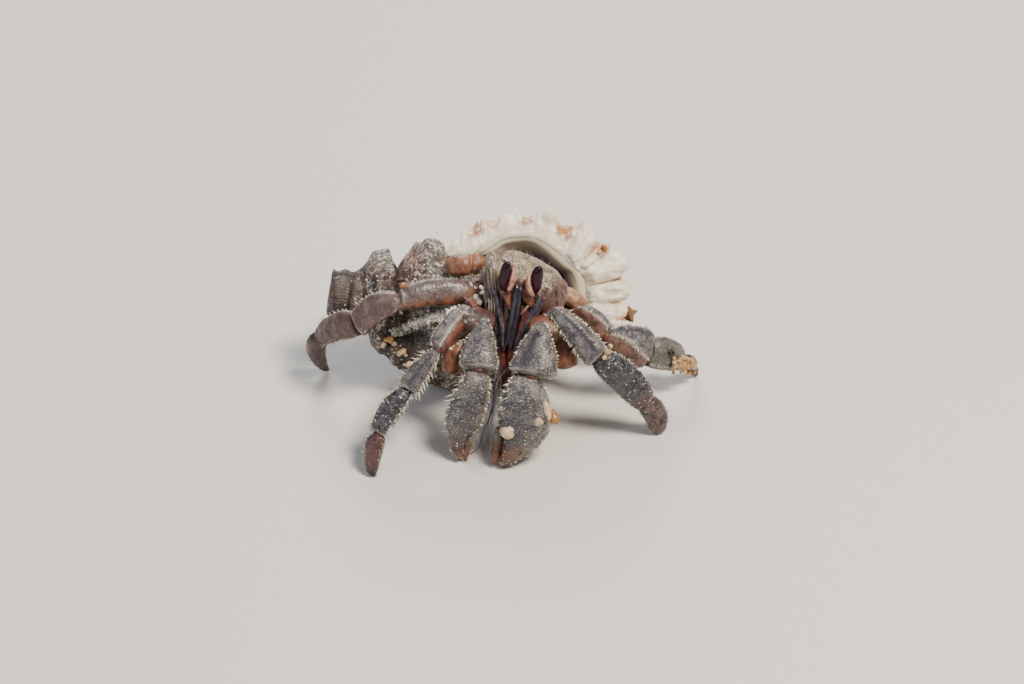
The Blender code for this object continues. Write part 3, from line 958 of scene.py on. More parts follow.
def shown(obj: Piece, finish: Finish, nodes: Sequence[str] = ()) -> Piece:
    """Dresses a finished piece and enters it in the model.

    Args:
        obj: the piece, in place.
        finish: its finish.
        nodes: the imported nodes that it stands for.

    Returns:
        The piece.
    """
    points = coordinates(obj)
    if points[:, 2].min() < 0.0:
        points[:, 2] = np.maximum(points[:, 2], 0.0)
        write_coordinates(obj, points)
    PIECES.append(obj)
    obj.data.materials.clear()
    obj.data.materials.append(finish.material())
    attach(obj, "root")
    if nodes:
        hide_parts(*nodes)
    LOG.info("%s: %d faces, %s", obj.name, len(obj.data.polygons), finish.name)
    return obj


def middle(node: str) -> Array:
    """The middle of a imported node's box, in millimetres."""
    low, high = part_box(node)
    return np.array((low + high) / 2) / MM


def node_points(node: str) -> Array:
    """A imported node's vertices, in millimetres."""
    return coordinates(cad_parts[node])


def facing_place(points: Array) -> tuple[Array, Array, Array]:
    """Measures points by steps from the middle of the right eye.

    Args:
        points: places in millimetres.

    Returns:
        Steps to the crab's left, up across the mouth, and forwards.
    """
    steps = points - middle("eye_right")
    return steps[:, 0], steps @ ACROSS_MOUTH, steps @ FACING


def from_facing(steps: Array) -> Array:
    """Turns steps back into points.

    Args:
        steps: steps to the crab's left, up and forwards from the middle of the right eye.

    Returns:
        The points.
    """
    steps = np.asarray(steps, float)
    left = np.array([1.0, 0.0, 0.0])
    return middle("eye_right") + steps[..., :1] * left + steps[..., 1:2] * ACROSS_MOUTH + steps[..., 2:3] * FACING


# ---- shell


def bead_line(left: Array | float) -> Array | float:
    """How far up the row of white beads under the spire lies, by steps to the left of the right eye."""
    return 0.36 * (left + 7.7) - 3.75


@dataclass
class RockShell:
    """The worn rock-shell: coiled whorls, a thick ribbed lip, a smooth throat and what sticks to it.

    Places on it are given by the distance from the spiral's true tip along the axis, the radius
    from the axis, and the turn about the axis, which is a full turn at the lip.
    """

    tip_from_eye: tuple[float, float, float] = (-13.75, 6.0, -4.99)
    way: tuple[float, float, float] = (24.5, 0.0, -4.6)
    lost_tip: float = 5.6
    reach: float = 30.9
    growth: float = 1.40
    whorls: int = 5
    core: float = 0.5
    outline: Table = (
        (13.6, 3.2), (14.6, 4.6), (15.8, 5.75), (17.3, 6.8), (18.6, 7.0), (20.8, 6.6),
        (23.0, 6.1), (25.2, 4.9), (27.2, 3.4), (28.8, 2.0), (30.0, 1.4), (31.2, 1.0),
    )
    spire_outline: Table = (
        (13.3, 2.9), (14.2, 3.5), (15.0, 3.9), (15.5, 4.6), (16.0, 5.7), (16.5, 6.6), (17.1, 6.9),
        (18.9, 6.8), (19.6, 6.1), (20.2, 5.2), (21.2, 4.7), (24.5, 4.1), (27.2, 3.2), (28.8, 2.0), (30.0, 1.4),
        (31.2, 1.0),
    )
    drum_radius: float = 2.15   # of the oldest whorl left, worn to a stub
    stub: float = 0.5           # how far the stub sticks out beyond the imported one
    # sand packed between the last two whorls underneath: distance and radius
    packed: Table = (
        (8.4, 0.0), (9.3, 3.6), (9.8, 4.2), (12.6, 5.5), (13.6, 5.2), (14.4, 0.0)
    )
    packed_turn: float = 3.05
    knobs_per_turn: int = 9
    knob_height: float = 0.07
    cords: tuple[float, ...] = (15.6, 16.9, 18.9, 20.4, 21.7, 23.1, 24.5, 25.6, 26.7, 27.7, 28.5, 29.4)
    flare: float = 0.10
    flare_turn: float = 1.2
    worn_front: float = 0.12
    worn_turn: float = 1.45
    worn_start: float = 11.0
    throat_turn: float = 2.0
    # the rim: distance and radius of its inner edge, then of its outer edge between ribs and grooves
    lip: Table = (
        (14.0, 3.8, 14.3, 5.1), (15.9, 4.25, 15.4, 6.0), (17.2, 4.85, 17.0, 7.1), (18.4, 5.9, 18.9, 7.9),
        (20.46, 6.5, 20.6, 8.2),
        (22.2, 5.94, 22.6, 8.2), (24.03, 4.75, 25.3, 7.6), (24.95, 4.2, 27.5, 6.1), (25.5, 3.12, 28.4, 4.1),
        (25.8, 1.91, 28.6, 2.6), (26.5, 1.05, 28.8, 1.5), (29.2, 0.25, 29.9, 0.8), (30.3, -0.2, 30.7, 0.1),
    )
    lip_thickness: float = 2.0
    # how far out the smooth band reaches, from -1 at the inner edge, by the place along the outer edge
    smooth_band: Table = ((0.0, 9.0, 13.5), (-0.2, -0.15, -0.75))
    # how wide the smooth slope inside the rim is, by the distance along the axis
    bevel_width: Table = (
        (14.6, 0.5), (16.2, 1.3), (17.5, 1.6), (18.7, 1.35), (20.5, 1.3), (22.5, 1.15), (24.0, 1.15), (25.4, 1.2),
        (27.0, 0.8), (29.8, 0.2),
    )
    mouth_middle: tuple[float, float] = (21.0, 3.0)
    # ribs of the rim: place along its outer edge in millimetres, height and half width
    ribs: Table = (
        (1.4, 0.42, 1.2), (3.2, 0.5, 1.1), (5.1, 0.96, 1.05), (8.15, 0.88, 0.9), (11.6, 1.12, 0.95),
        (13.4, 0.5, 0.5), (15.1, 1.1, 0.95), (17.3, 0.95, 0.8), (18.9, 0.9, 0.62), (20.15, 0.72, 0.52),
        (21.4, 0.5, 0.45),
    )
    # orange stains: place along the outer edge, strength and half width
    rust_at: Table = (
        (2.5, 0.8, 0.9), (4.1, 0.5, 0.5), (6.65, 0.6, 0.4), (9.9, 1.0, 0.95), (13.2, 0.9, 0.6), (16.2, 0.5, 0.3),
        (18.15, 0.6, 0.25), (19.6, 0.7, 0.25),
    )
    # seen from the front: middle and half size of a painted shadow under the spire, over a shallow dip, and of a
    # rusty patch
    painted_shadow_patch: Table = ((-6.9, -4.6), (1.9, 1.1))
    rusty_patch: Table = ((-7.2, 1.2), (0.8, 1.6))
    grit_count: int = 1300
    # faces the long way and the other way, of the coil, the rim and the throat
    faces: tuple[int, int] = (330, 230)
    lip_faces: tuple[int, int] = (420, 72)
    throat_faces: tuple[int, int] = (90, 110)
    rng: Draws = field(default_factory=lambda: np.random.default_rng(11))

    def __post_init__(self) -> None:
        """Works out the axis, the way to the lip and the way of growth there."""
        self.tip = middle("eye_right") + self.tip_from_eye
        self.axis = unit(self.way)
        self.outward = unit(ACROSS_MOUTH - self.axis * (self.axis @ ACROSS_MOUTH))
        self.forward = np.cross(self.axis, self.outward)

    def point(self, distance: Array, radius: Array, turn: Array) -> Array:
        """Places points on the shell.

        Args:
            distance: along the axis from the true tip.
            radius: from the axis.
            turn: about the axis.

        Returns:
            The points.
        """
        distance, radius, turn = np.broadcast_arrays(distance, radius, turn)
        across = np.cos(turn)[..., None] * self.outward + np.sin(turn)[..., None] * self.forward
        return self.tip + self.axis * (distance - self.lost_tip)[..., None] + across * radius[..., None]

    def radius(self, distance: Array, turn: Array, newest: int = 0) -> tuple[Array, Array, Array]:
        """The coiled surface before fine relief.

        Args:
            distance: along the axis from the true tip.
            turn: about the axis.
            newest: 1 leaves out the last whorl, to give the wall inside the mouth.

        Returns:
            The radius, the place on the whorl's own outline, and the whorl's size.
        """
        best = np.full(np.shape(distance), self.core)
        place, scale = np.full_like(best, 31.0), np.ones_like(best)
        for whorl in range(newest, self.whorls):
            age = turn / FULL - whorl
            size = self.growth ** (age - 1)
            own = distance / size
            old = fade(FULL - turn + FULL * whorl, 4.3, 6.1)
            outline = flowing(own, self.outline) * (1 - old) + flowing(own, self.spire_outline) * old
            radius = outline * size * fade(own, 13.2, 14.0)
            radius *= np.where(own > 31.2, 0.0, 1.0)
            knob = np.maximum(0.0, -np.cos(FULL * self.knobs_per_turn * age)) ** 1.5
            radius *= 1 + self.knob_height * knob * bell(own, 17.6, 1.5)
            if whorl == 0:
                radius *= 1 + self.flare * np.maximum(0.0, 1 - (FULL - turn) / self.flare_turn) ** 2
            higher = radius > best
            best = np.where(higher, radius, best)
            place, scale = np.where(higher, own, place), np.where(higher, size, scale)
        start = np.clip((distance - self.worn_start) / 3.0, 0.0, 1.0)
        worn = np.maximum(0.0, np.cos(turn - self.worn_turn)) ** 2 * start
        if newest == 0:
            best = best * (1 - self.worn_front * worn)
            front = bell(turn, self.packed_turn, 0.85) ** 0.5
            best = np.maximum(best, np.interp(distance, *zip(*self.packed)) * front)
            drum = fade(distance, 8.5, 7.4)
            best = best * (1 - drum) + (self.drum_radius + 0.12 * np.sin(distance * 5 + turn)) * drum
        return best, place, scale

    def whorl_shape(self, u: Array, v: Array) -> Skin:
        """The outside of the coil, from the broken tip to the canal.

        Args:
            u: places round the axis, 0 to 1, with the lip at 1.
            v: places along it, 0 at the tip.

        Returns:
            The points, and the marks by name.
        """
        turn = u * FULL
        start = self.lost_tip - self.stub
        distance = start + (self.reach - start) * v
        radius, place, scale = self.radius(distance, turn)
        base = self.point(distance, radius, turn)
        young = fade(distance, 6.7, 8.3)
        cord = sum(bell(place, c, 0.34) for c in self.cords)
        folds = np.cos(turn * 9 + 1.5 * lumps(base, 3.0, 4)) * 0.5 + 0.5
        lines = np.sin(turn * 46 + 2.0 * lumps(base, 1.3, 5))
        rough = 0.22 * lumps(base, 1.9, 1) + 0.15 * lumps(base, 0.8, 2) + 0.08 * lumps(base, 0.38, 3)
        crust = grains(base, 0.42, 6) * (0.5 + 0.5 * lumps(base, 1.6, 7))
        height = scale * (0.3 * cord * young - 0.3 + 0.10 * folds + 0.03 * lines)
        craggy = np.round(2.2 * lumps(base, 1.2, 9)) * 0.11 + 0.1 * np.abs(lumps(base, 0.55, 10))
        height += rough * (0.35 + 0.65 * young) + (0.12 * crust + craggy) * young - 0.25 * (1 - young)
        closing = closed(v, 0.02)
        hollow_tip = 0.8 * fade(v, 0.02, 0.0)
        left, up, _ = facing_place(base)
        front = fade(turn, FULL / 2, 0.6 * FULL) + fade(turn, 0.35 * FULL, 0.0)
        # painted shadow on the shell below the spire, where the shell also dips a little
        painted_shadow = spot(left, up, *self.painted_shadow_patch) * fade(distance, 15.0, 14.0)
        height -= 0.35 * painted_shadow
        rusty = spot(left, up, *self.rusty_patch) * np.clip(front, 0, 1)
        _, rim, _ = self.lip_line()
        under_rim = np.interp(distance, rim[:, 0], rim[:, 1]) - 0.75 + 1.6 * (FULL - turn)
        under_rim += 8.0 * np.clip(14.6 - distance, 0, 1)
        radius = np.where(turn > FULL - 1.0, np.minimum(radius + height, under_rim), radius + height)
        points = self.point(distance + hollow_tip, np.maximum(radius, 0.2) * closing, turn)
        suture = bell(place, 14.2, 0.9)
        streak = 0.3 * (1 - young) * lumps(columns(turn * 5, distance * 0.25, 0 * turn), 0.7, 8)
        # crown is paler on cords, lumps and crust and darker in low places, partly as painted shade; the darkening at
        # the sutures is painted shade
        crown = 0.42 + 0.3 * cord * young + 1.5 * rough + 0.3 * crust - 0.75 * suture + streak
        row = bell(up - bead_line(left), 0.0, 0.4) * fade(left, -9.0, -8.2) * fade(left, -3.0, -3.8)
        crown += 0.5 * row
        # painted shade at the broken tip, in the groove round the drum and in a band beyond it
        crown -= 0.5 * fade(v, 0.035, 0.015) + 0.7 * bell(distance, 7.15, 0.13) + 0.5 * bell(distance, 10.5, 0.4)
        height -= scale * 0.18 * bell(distance, 7.15, 0.16)
        lip = fade(turn, FULL - 0.55, FULL - 0.12) * fade(distance, 14.5, 16.5)
        marks = {"crown": np.clip(crown, 0, 1), "rusty": np.clip(rusty, 0, 1), "crusty": fade(distance, 7.0, 9.5)}
        return points, marks | {"lip": lip, "painted_shadow": painted_shadow}

    def lip_line(self) -> tuple[Array, Array, Array]:
        """Reads the rim closely.

        Returns:
            Its inner edge, its outer edge and the running length of the outer one.
        """
        steps = np.linspace(0, len(self.lip) - 1, 241)
        table = [[i, *row] for i, row in enumerate(self.lip)]
        line = columns(*(flowing(steps, table, column) for column in (1, 2, 3, 4)))
        length = np.concatenate([[0], np.cumsum(np.linalg.norm(np.diff(line[:, 2:], axis=0), axis=1))])
        return line[:, :2], line[:, 2:], length

    def lip_shape(self, u: Array, v: Array) -> Skin:
        """The thick rim: smooth inside, ribbed outwards into blunt knobs.

        Args:
            u: places along the rim, 0 to 1.
            v: places round its section, 0 on the outer edge.

        Returns:
            The points, and the marks by name.
        """
        inner_line, outer_line, length = self.lip_line()
        s = u * length[-1]
        inner = columns(*(np.interp(s, length, inner_line[:, k]) for k in range(2)))
        outer_edge = columns(*(np.interp(s, length, outer_line[:, k]) for k in range(2)))
        out_way, middle_line = unit(outer_edge - inner), (inner + outer_edge) / 2
        width = np.linalg.norm(outer_edge - inner, axis=-1)
        angle = v * FULL
        c, sn = np.cos(angle), np.sin(angle)
        closing = closed(u, 0.02)
        thick = self.lip_thickness / 2 * np.minimum(1.0, width / 1.5) * closing
        rib = np.zeros_like(s)
        for at, height, reach in self.ribs:
            rib = np.maximum(rib, height * np.exp(-((np.abs(s - at) / reach) ** 3.2)))
        start = np.interp(s, self.smooth_band[0], self.smooth_band[1])
        ribbed = np.clip((c - start) / 0.6, 0, 1) ** 0.8 * fade(u, 0.0, 0.04)
        lift = (rib - 0.35 + 0.12 * lumps(columns(s, 0 * s, 0 * s), 0.9, 25)) * ribbed
        out = fuller(c, 0.55) * width / 2 * closing + lift * np.maximum(c, 0.0) ** 0.4
        front = (fuller(sn, 0.7) - 0.7) * thick
        front += (0.75 * rib - 0.5) * ribbed * np.maximum(sn, 0.0) * 0.8
        base = self.point(middle_line[:, 0] + out_way[:, 0] * out, middle_line[:, 1] + out_way[:, 1] * out, 0.0)
        base = base + self.forward * front[:, None]
        rough = 0.15 * lumps(base, 0.75, 21) + 0.06 * lumps(base, 0.3, 22) + 0.07 * grains(base, 0.4, 23)
        rough += 0.26 * grains(base, 0.9, 27) + 0.14 * lumps(base, 0.5, 28) + 0.2 * lumps(base, 1.2, 29)
        axis_way = self.axis * out_way[:, :1] + self.outward * out_way[:, 1:]
        normal = unit(axis_way * c[:, None] + self.forward * sn[:, None])
        rust = np.clip(sum(bell(s, at, reach) * strength for at, strength, reach in self.rust_at), 0, 1)
        rough += 0.14 * rust * grains(base, 0.28, 24)
        points = base + normal * (rough * (0.15 + 0.85 * ribbed))[:, None]
        # painted shade in the grooves between ribs, and a worn patch
        groove_shade_and_wear = fade(rib, 0.42, 0.05) * ribbed
        worn_patch = bell(s, 3.0, 1.0) * fade(c, 0.15, -0.5)
        groove_shade_and_wear = np.clip(groove_shade_and_wear + worn_patch * (0.7 + 0.6 * lumps(base, 0.4, 26)), 0, 1)
        bevel = fade(sn, 0.55, -0.75) * fade(c, -0.3, -0.75)
        # painted shade, nearly black, deep in the grooves of the right-hand ribs
        painted_crevice_shade = fade(rib, 0.3, 0.02) * ribbed * fade(s, 13.6, 15.0) * fade(s, 23.0, 21.5)
        return points, {"groove_shade_and_wear": groove_shade_and_wear, "rust": rust * fade(c, -0.1, 0.5), "bevel": bevel, "painted_crevice_shade": painted_crevice_shade}

    def throat_shape(self, u: Array, v: Array) -> Skin:
        """The lining of the mouth: in along the outer wall and back out over the last whorl.

        Args:
            u: places inwards and out again, 0 to 1.
            v: places along the axis, 0 to 1.

        Returns:
            The points, and the marks by name.
        """
        inner = self.lip_line()[0]
        distance = 14.6 + (29.8 - 14.6) * v
        edge = np.interp(distance, inner[:, 0], inner[:, 1]) + 0.45
        deep = np.minimum(1.0, np.minimum(v, 1 - v) / 0.2) ** 0.5
        share = np.where(u < 0.5, u / 0.44, (1 - u) / 0.44)
        back = np.clip(share, 0, 1) ** 1.4 * self.throat_turn * deep
        shrunk = self.growth ** (-back / FULL)
        along = distance * (0.35 + 0.65 * shrunk)
        wall = self.radius(along, FULL - back)[0] - 0.85
        outer = edge * fade(back, 0.9, 0.0) + np.maximum(wall, edge * shrunk) * fade(back, 0.0, 0.9)
        inner_wall = self.radius(along, FULL - back, newest=1)[0] - 0.25
        across = fade(u, 0.44, 0.56)
        radius = np.where(outer > inner_wall, outer * (1 - across) + inner_wall * across, inner_wall)
        bevel = fade(back, 0.0, 0.34) * (1 - across) * deep
        slope = 0.57 * fade(back, 0.0, 0.022) * (1 - across) + bevel * (flowing(distance, self.bevel_width) - 0.3)
        to_middle = unit(columns(self.mouth_middle[0] - distance, self.mouth_middle[1] - edge))
        along, radius = along + slope * to_middle[:, 0], radius + slope * to_middle[:, 1]
        points = self.point(along, radius, 0.024 - back)
        sand = grains(points, 0.4, 31) * fade(u, 0.56, 0.7)
        points = self.point(along, radius + 0.07 * sand, 0.024 - back)
        # depth runs the lining from its own beige and taupe to the darkest colour, which is painted shade deep in the
        # mouth and on the wall inside it
        depth = (0.5 + 0.35 * fade(distance, 20.5, 23.5)) * bevel + 0.5 * np.clip((back - 0.25) / 0.8, 0, 1)
        return points, {"depth": np.where(u > 0.5, 0.45 + 0.55 * np.clip(back / 1.3, 0, 1), depth)}

    def grit(self, whorls: Piece) -> Piece:
        """Sand and bits of chalk cemented to the whorls, most of them in front under the legs.

        Args:
            whorls: the finished coil.

        Returns:
            The grains.
        """
        points, ways = coordinates(whorls), normals_of(whorls)
        left, up, _ = facing_place(points)
        facing = np.clip(ways @ FACING, 0, 1)
        chance = facing * (0.15 + fade(left, -10.5, -7.0) * fade(up, 0.5, -1.5)) + 0.08
        chance *= fade(left, -13.0, -11.0) * fade(left, 4.0, 0.0) * fade(points[:, 2], 0.3, 0.8)
        # few grains in the painted shadow
        chance *= 1 - 0.9 * spot(left, up, *self.painted_shadow_patch)
        row = bell(up - bead_line(left), 0.0, 0.35) * fade(left, -9.0, -8.4) * fade(left, -3.2, -3.8) * facing
        chance += 24 * row + 2.5 * (spot(left, up, (-6.0, 0.3), (1.6, 0.9)) * facing)
        count = self.grit_count
        picks = self.rng.choice(len(points), count, replace=False, p=chance / chance.sum())
        size = (0.045 + 0.13 * self.rng.random(count) ** 3)[:, None] * self.rng.uniform(0.7, 1.2, (count, 3))
        size = (size + 0.05 * row[picks, None]) * (1 + 0.6 * row[picks])[:, None]
        place = columns((left[picks] + 15) / 30, (up[picks] + 12) / 24)
        tone = self.rng.random(count) ** 0.8 * (1 - 0.85 * row[picks])
        strewn = Strewn(points[picks], ways[picks] + self.rng.normal(0, 0.3, (count, 3)), size, tone, place)
        return strewn.mesh("shell_grit", pebble(), self.rng)

    def spines(self) -> Piece:
        """A small brown barnacle-like tuft of spines on the outer side of the rim.

        Returns:
            The tuft.
        """
        deselect()
        bpy.ops.mesh.primitive_ico_sphere_add(subdivisions=2, radius=0.36 * MM)
        obj = bpy.context.active_object
        obj.name = obj.data.name = "shell_spiny_growth"
        count = len(obj.data.vertices)
        tips = [i for i in range(count) if hashed(np.array([[i, 3, 7]]), 5)[0] > 0.72]
        for tip in tips:
            for vertex in obj.data.vertices:
                vertex.select = vertex.index == tip
            obj.data.vertices[tip].co *= 2.1 + 0.9 * self.rng.random()
        modified(obj, "SUBSURF", levels=1, render_levels=1)
        _, outer_line, length = self.lip_line()
        place = outer_line[int(np.searchsorted(length, 19.0))] + (0.7, 0.1)
        centre = self.point(place[0], place[1], 0.0) - self.forward * 0.3
        write_coordinates(obj, coordinates(obj) + centre)
        edited(obj, lambda: bpy.ops.mesh.faces_shade_smooth())
        return obj

    def build(self) -> None:
        """Builds and dresses the shell's pieces."""
        detail = 1.0
        faces, lip_faces = ([int(count * detail) for count in pair] for pair in (self.faces, self.lip_faces))
        whorls = rolled("shell_whorls", *faces, self.whorl_shape)
        shown(self.grit(whorls), WET_SAND)
        shown(whorls, WEATHERED, ["shell"])
        shown(rolled("shell_lip", *lip_faces, self.lip_shape), IVORY, ["shell"])
        shown(rolled("shell_throat", *self.throat_faces, self.throat_shape), THROAT, ["shell"])
        shown(self.spines(), GROWTH)


# ---- limbs


class Form(Enum):
    """Outlines of a limb's plates.

    Each row gives the place along the plate, then how far it reaches to its outer edge, to its
    inner edge, to the front and to the back, as parts of half its girth.
    """

    BASE = (
        (0.0, 0.6, 0.6, 0.6, 0.6), (0.3, 0.9, 0.9, 0.95, 0.9), (0.7, 1.0, 1.0, 1.0, 1.0),
        (1.0, 0.85, 0.85, 0.9, 0.9),
    )
    MERUS = (
        (0.0, 0.55, 0.6, 0.6, 0.6), (0.12, 0.8, 0.84, 0.86, 0.8), (0.35, 1.0, 0.98, 1.0, 1.0),
        (0.6, 1.04, 0.98, 1.0, 1.0), (0.85, 0.94, 0.86, 0.92, 0.9), (1.0, 0.74, 0.66, 0.76, 0.7),
    )
    CARPUS = (
        (0.0, 0.3, 0.36, 0.45, 0.4), (0.15, 0.58, 0.6, 0.7, 0.64), (0.4, 0.86, 0.86, 0.94, 0.9),
        (0.68, 1.04, 1.02, 1.04, 1.0), (0.88, 1.08, 1.04, 1.0, 0.95), (1.0, 0.9, 0.86, 0.78, 0.7),
    )
    PROPODUS = (
        (0.0, 0.5, 0.5, 0.6, 0.5), (0.12, 0.82, 0.8, 0.86, 0.8), (0.35, 1.04, 1.0, 1.02, 1.0),
        (0.65, 1.04, 1.0, 0.98, 0.95), (0.88, 0.9, 0.84, 0.82, 0.8), (1.0, 0.66, 0.6, 0.6, 0.6),
    )
    DACTYL = (
        (0.0, 0.62, 0.6, 0.7, 0.6), (0.1, 0.92, 0.88, 0.95, 0.9), (0.3, 1.0, 1.0, 1.0, 1.0),
        (0.55, 0.86, 0.84, 0.84, 0.84), (0.8, 0.6, 0.56, 0.56, 0.56), (0.95, 0.3, 0.28, 0.28, 0.28),
        (1.0, 0.1, 0.1, 0.1, 0.1),
    )
    WHOLE = ((0.0, 1.0, 1.0, 1.0, 1.0), (1.0, 1.0, 1.0, 1.0, 1.0))


@dataclass(frozen=True)
class Plate:
    """The look of one segment of a limb.

    Angles run in degrees round the segment from its front, to its outer edge at 90.
    """

    part: str
    form: Form
    finish: Finish
    border: float = -75.0       # where the granular face gives way to the smooth underside
    stripe: float | None = None
    stripe_width: float = 9.0
    teeth: float = 0.07
    granules: float = 0.05
    bow: float = 0.03
    beads: float = 3.0          # to a millimetre of edge
    bristles: float = 9.0       # to a millimetre of edge
    bristle_length: float = 0.28
    fuzz: int = 40
    horn_from: float = 9.0
    under_from: float = 9.0     # how far along the grey face turns to the colour of the underside
    seam: float = 1.0           # how strongly the border stands out
    blend: float = 9.0          # degrees over which the face turns to the underside
    dark_middle: float | None = None
    bare_base: float = -9.0     # how far along the colour of the underside reaches from the base
    flip: bool = False          # the outer edge lies on the other side
    slim: float = 1.0           # of its girth
    border_turn: float = 0.0    # degrees that the border goes round from one end to the other
    dots: int = 0               # white grains that glint on the face
    swell: float = 0.86         # power that fills its cross-section out from an oval
    # rows of spines: angle, first and last place along, how many, length
    spines: Table = ()
    profile: Table = ()


@dataclass
class Bone:
    """A segment's joints, its ways outwards and to the front, and half its girths."""

    node: str
    start: Array
    end: Array
    outer: Array
    front: Array
    half: Array
    seed: int

    @property
    def length(self) -> float:
        """From joint to joint."""
        return float(np.linalg.norm(self.end - self.start))

    def surface(self, plate: Plate) -> Shape:
        """The segment's skin as a shape to roll.

        Args:
            plate: its look.

        Returns:
            A function that turns places along and round it into points and marks.
        """
        along = unit(self.end - self.start)

        def shape(u: Array, v: Array) -> Skin:
            """The plate's skin.

            Args:
                u: places along it, 0 to 1.
                v: places round it: 0 is the front and a quarter the outer edge.

            Returns:
                The points, and the marks by name.
            """
            angle = v * FULL
            s, c = np.sin(angle), np.cos(angle)
            turn = np.degrees(np.arctan2(s, c))
            table = plate.profile or plate.form.value
            reach = [flowing(u, table, k) for k in (1, 2, 3, 4)]
            closing = closed(u, 0.05)
            side = np.where(s > 0, reach[0], reach[1]) * self.half[0] * plate.slim * closing
            deep = np.where(c > 0, reach[2], reach[3]) * self.half[1] * closing
            across = fuller(s, plate.swell) * side
            depth = fuller(c, plate.swell) * deep
            arch = 4 * u * (1 - u) * plate.bow * self.length
            base = self.start + along * (u * self.length)[:, None]
            base = base + self.outer * (across + arch)[:, None] + self.front * depth[:, None]
            sideways, forwards = s / np.maximum(side, 0.1), c / np.maximum(deep, 0.1)
            normal = unit(self.outer * sideways[:, None] + self.front * forwards[:, None])
            over = turn - plate.border - plate.border_turn * (u - 0.5)
            upper = fade(over, -plate.blend, plate.blend / 3) * fade(turn, 128, 112)
            inside = fade(u, 0.0, 0.08) * fade(u, 1.0, 0.93)
            pace = FULL * u * self.length * plate.beads
            tooth = 0.45 + 0.55 * np.cos(pace + 2 * np.sin(pace / 5 + self.seed))
            edge = np.maximum(bell(turn, OUTER_EDGE, 9), plate.seam * bell(over, 0.0, 7)) * inside
            collar = bell(u, 0.945, 0.018) * upper * np.clip(0.5 + 0.8 * lumps(base, 0.5, self.seed + 5), 0, 1)
            grain = grains(base, 0.21, self.seed) * 0.7 + 0.5 * grains(base, 0.42, self.seed + 9)
            height = plate.teeth * edge * tooth + 0.06 * collar
            height += plate.granules * grain * (0.2 + 0.8 * upper) * inside
            height += 0.05 * lumps(base, 0.8, self.seed + 3) * inside
            marks = {
                "upper": upper * fade(u, plate.under_from + 0.18, plate.under_from - 0.08)
                * fade(u, plate.bare_base - 0.1, plate.bare_base + 0.2),
                "margin": np.clip(edge * tooth * 1.2, 0, 1) * 0.8 + 0.45 * collar,
                "granule": np.clip(0.3 + grain, 0, 1),
                "horn_tip_and_shade": fade(u, plate.horn_from, plate.horn_from + 0.15),
                "stripe": np.zeros_like(u),
            }
            if plate.dark_middle is not None:
                middle_band = bell(turn, plate.dark_middle, 42) * fade(u, 0.05, 0.3) * fade(u, 1.0, 0.75)
                marks["stripe"] = 0.85 * middle_band
                marks["granule"] = marks["granule"] * (1 - 0.5 * middle_band)
            if plate.stripe is not None:
                line = bell(turn, plate.stripe, plate.stripe_width) * fade(u, 0.1, 0.25) * fade(u, 0.96, 0.85)
                height -= 0.1 * line
                marks["stripe"] = np.maximum(marks["stripe"], line)
                marks["granule"] = marks["granule"] * (1 - 0.95 * line)
            return base + normal * height[:, None], marks

        return shape


def end_of(points: Array, way: Array, count: int = 10) -> Array:
    """The middle of the few points that lie farthest along a way."""
    order = np.argsort(points @ way)
    return points[order[-count:]].mean(0)


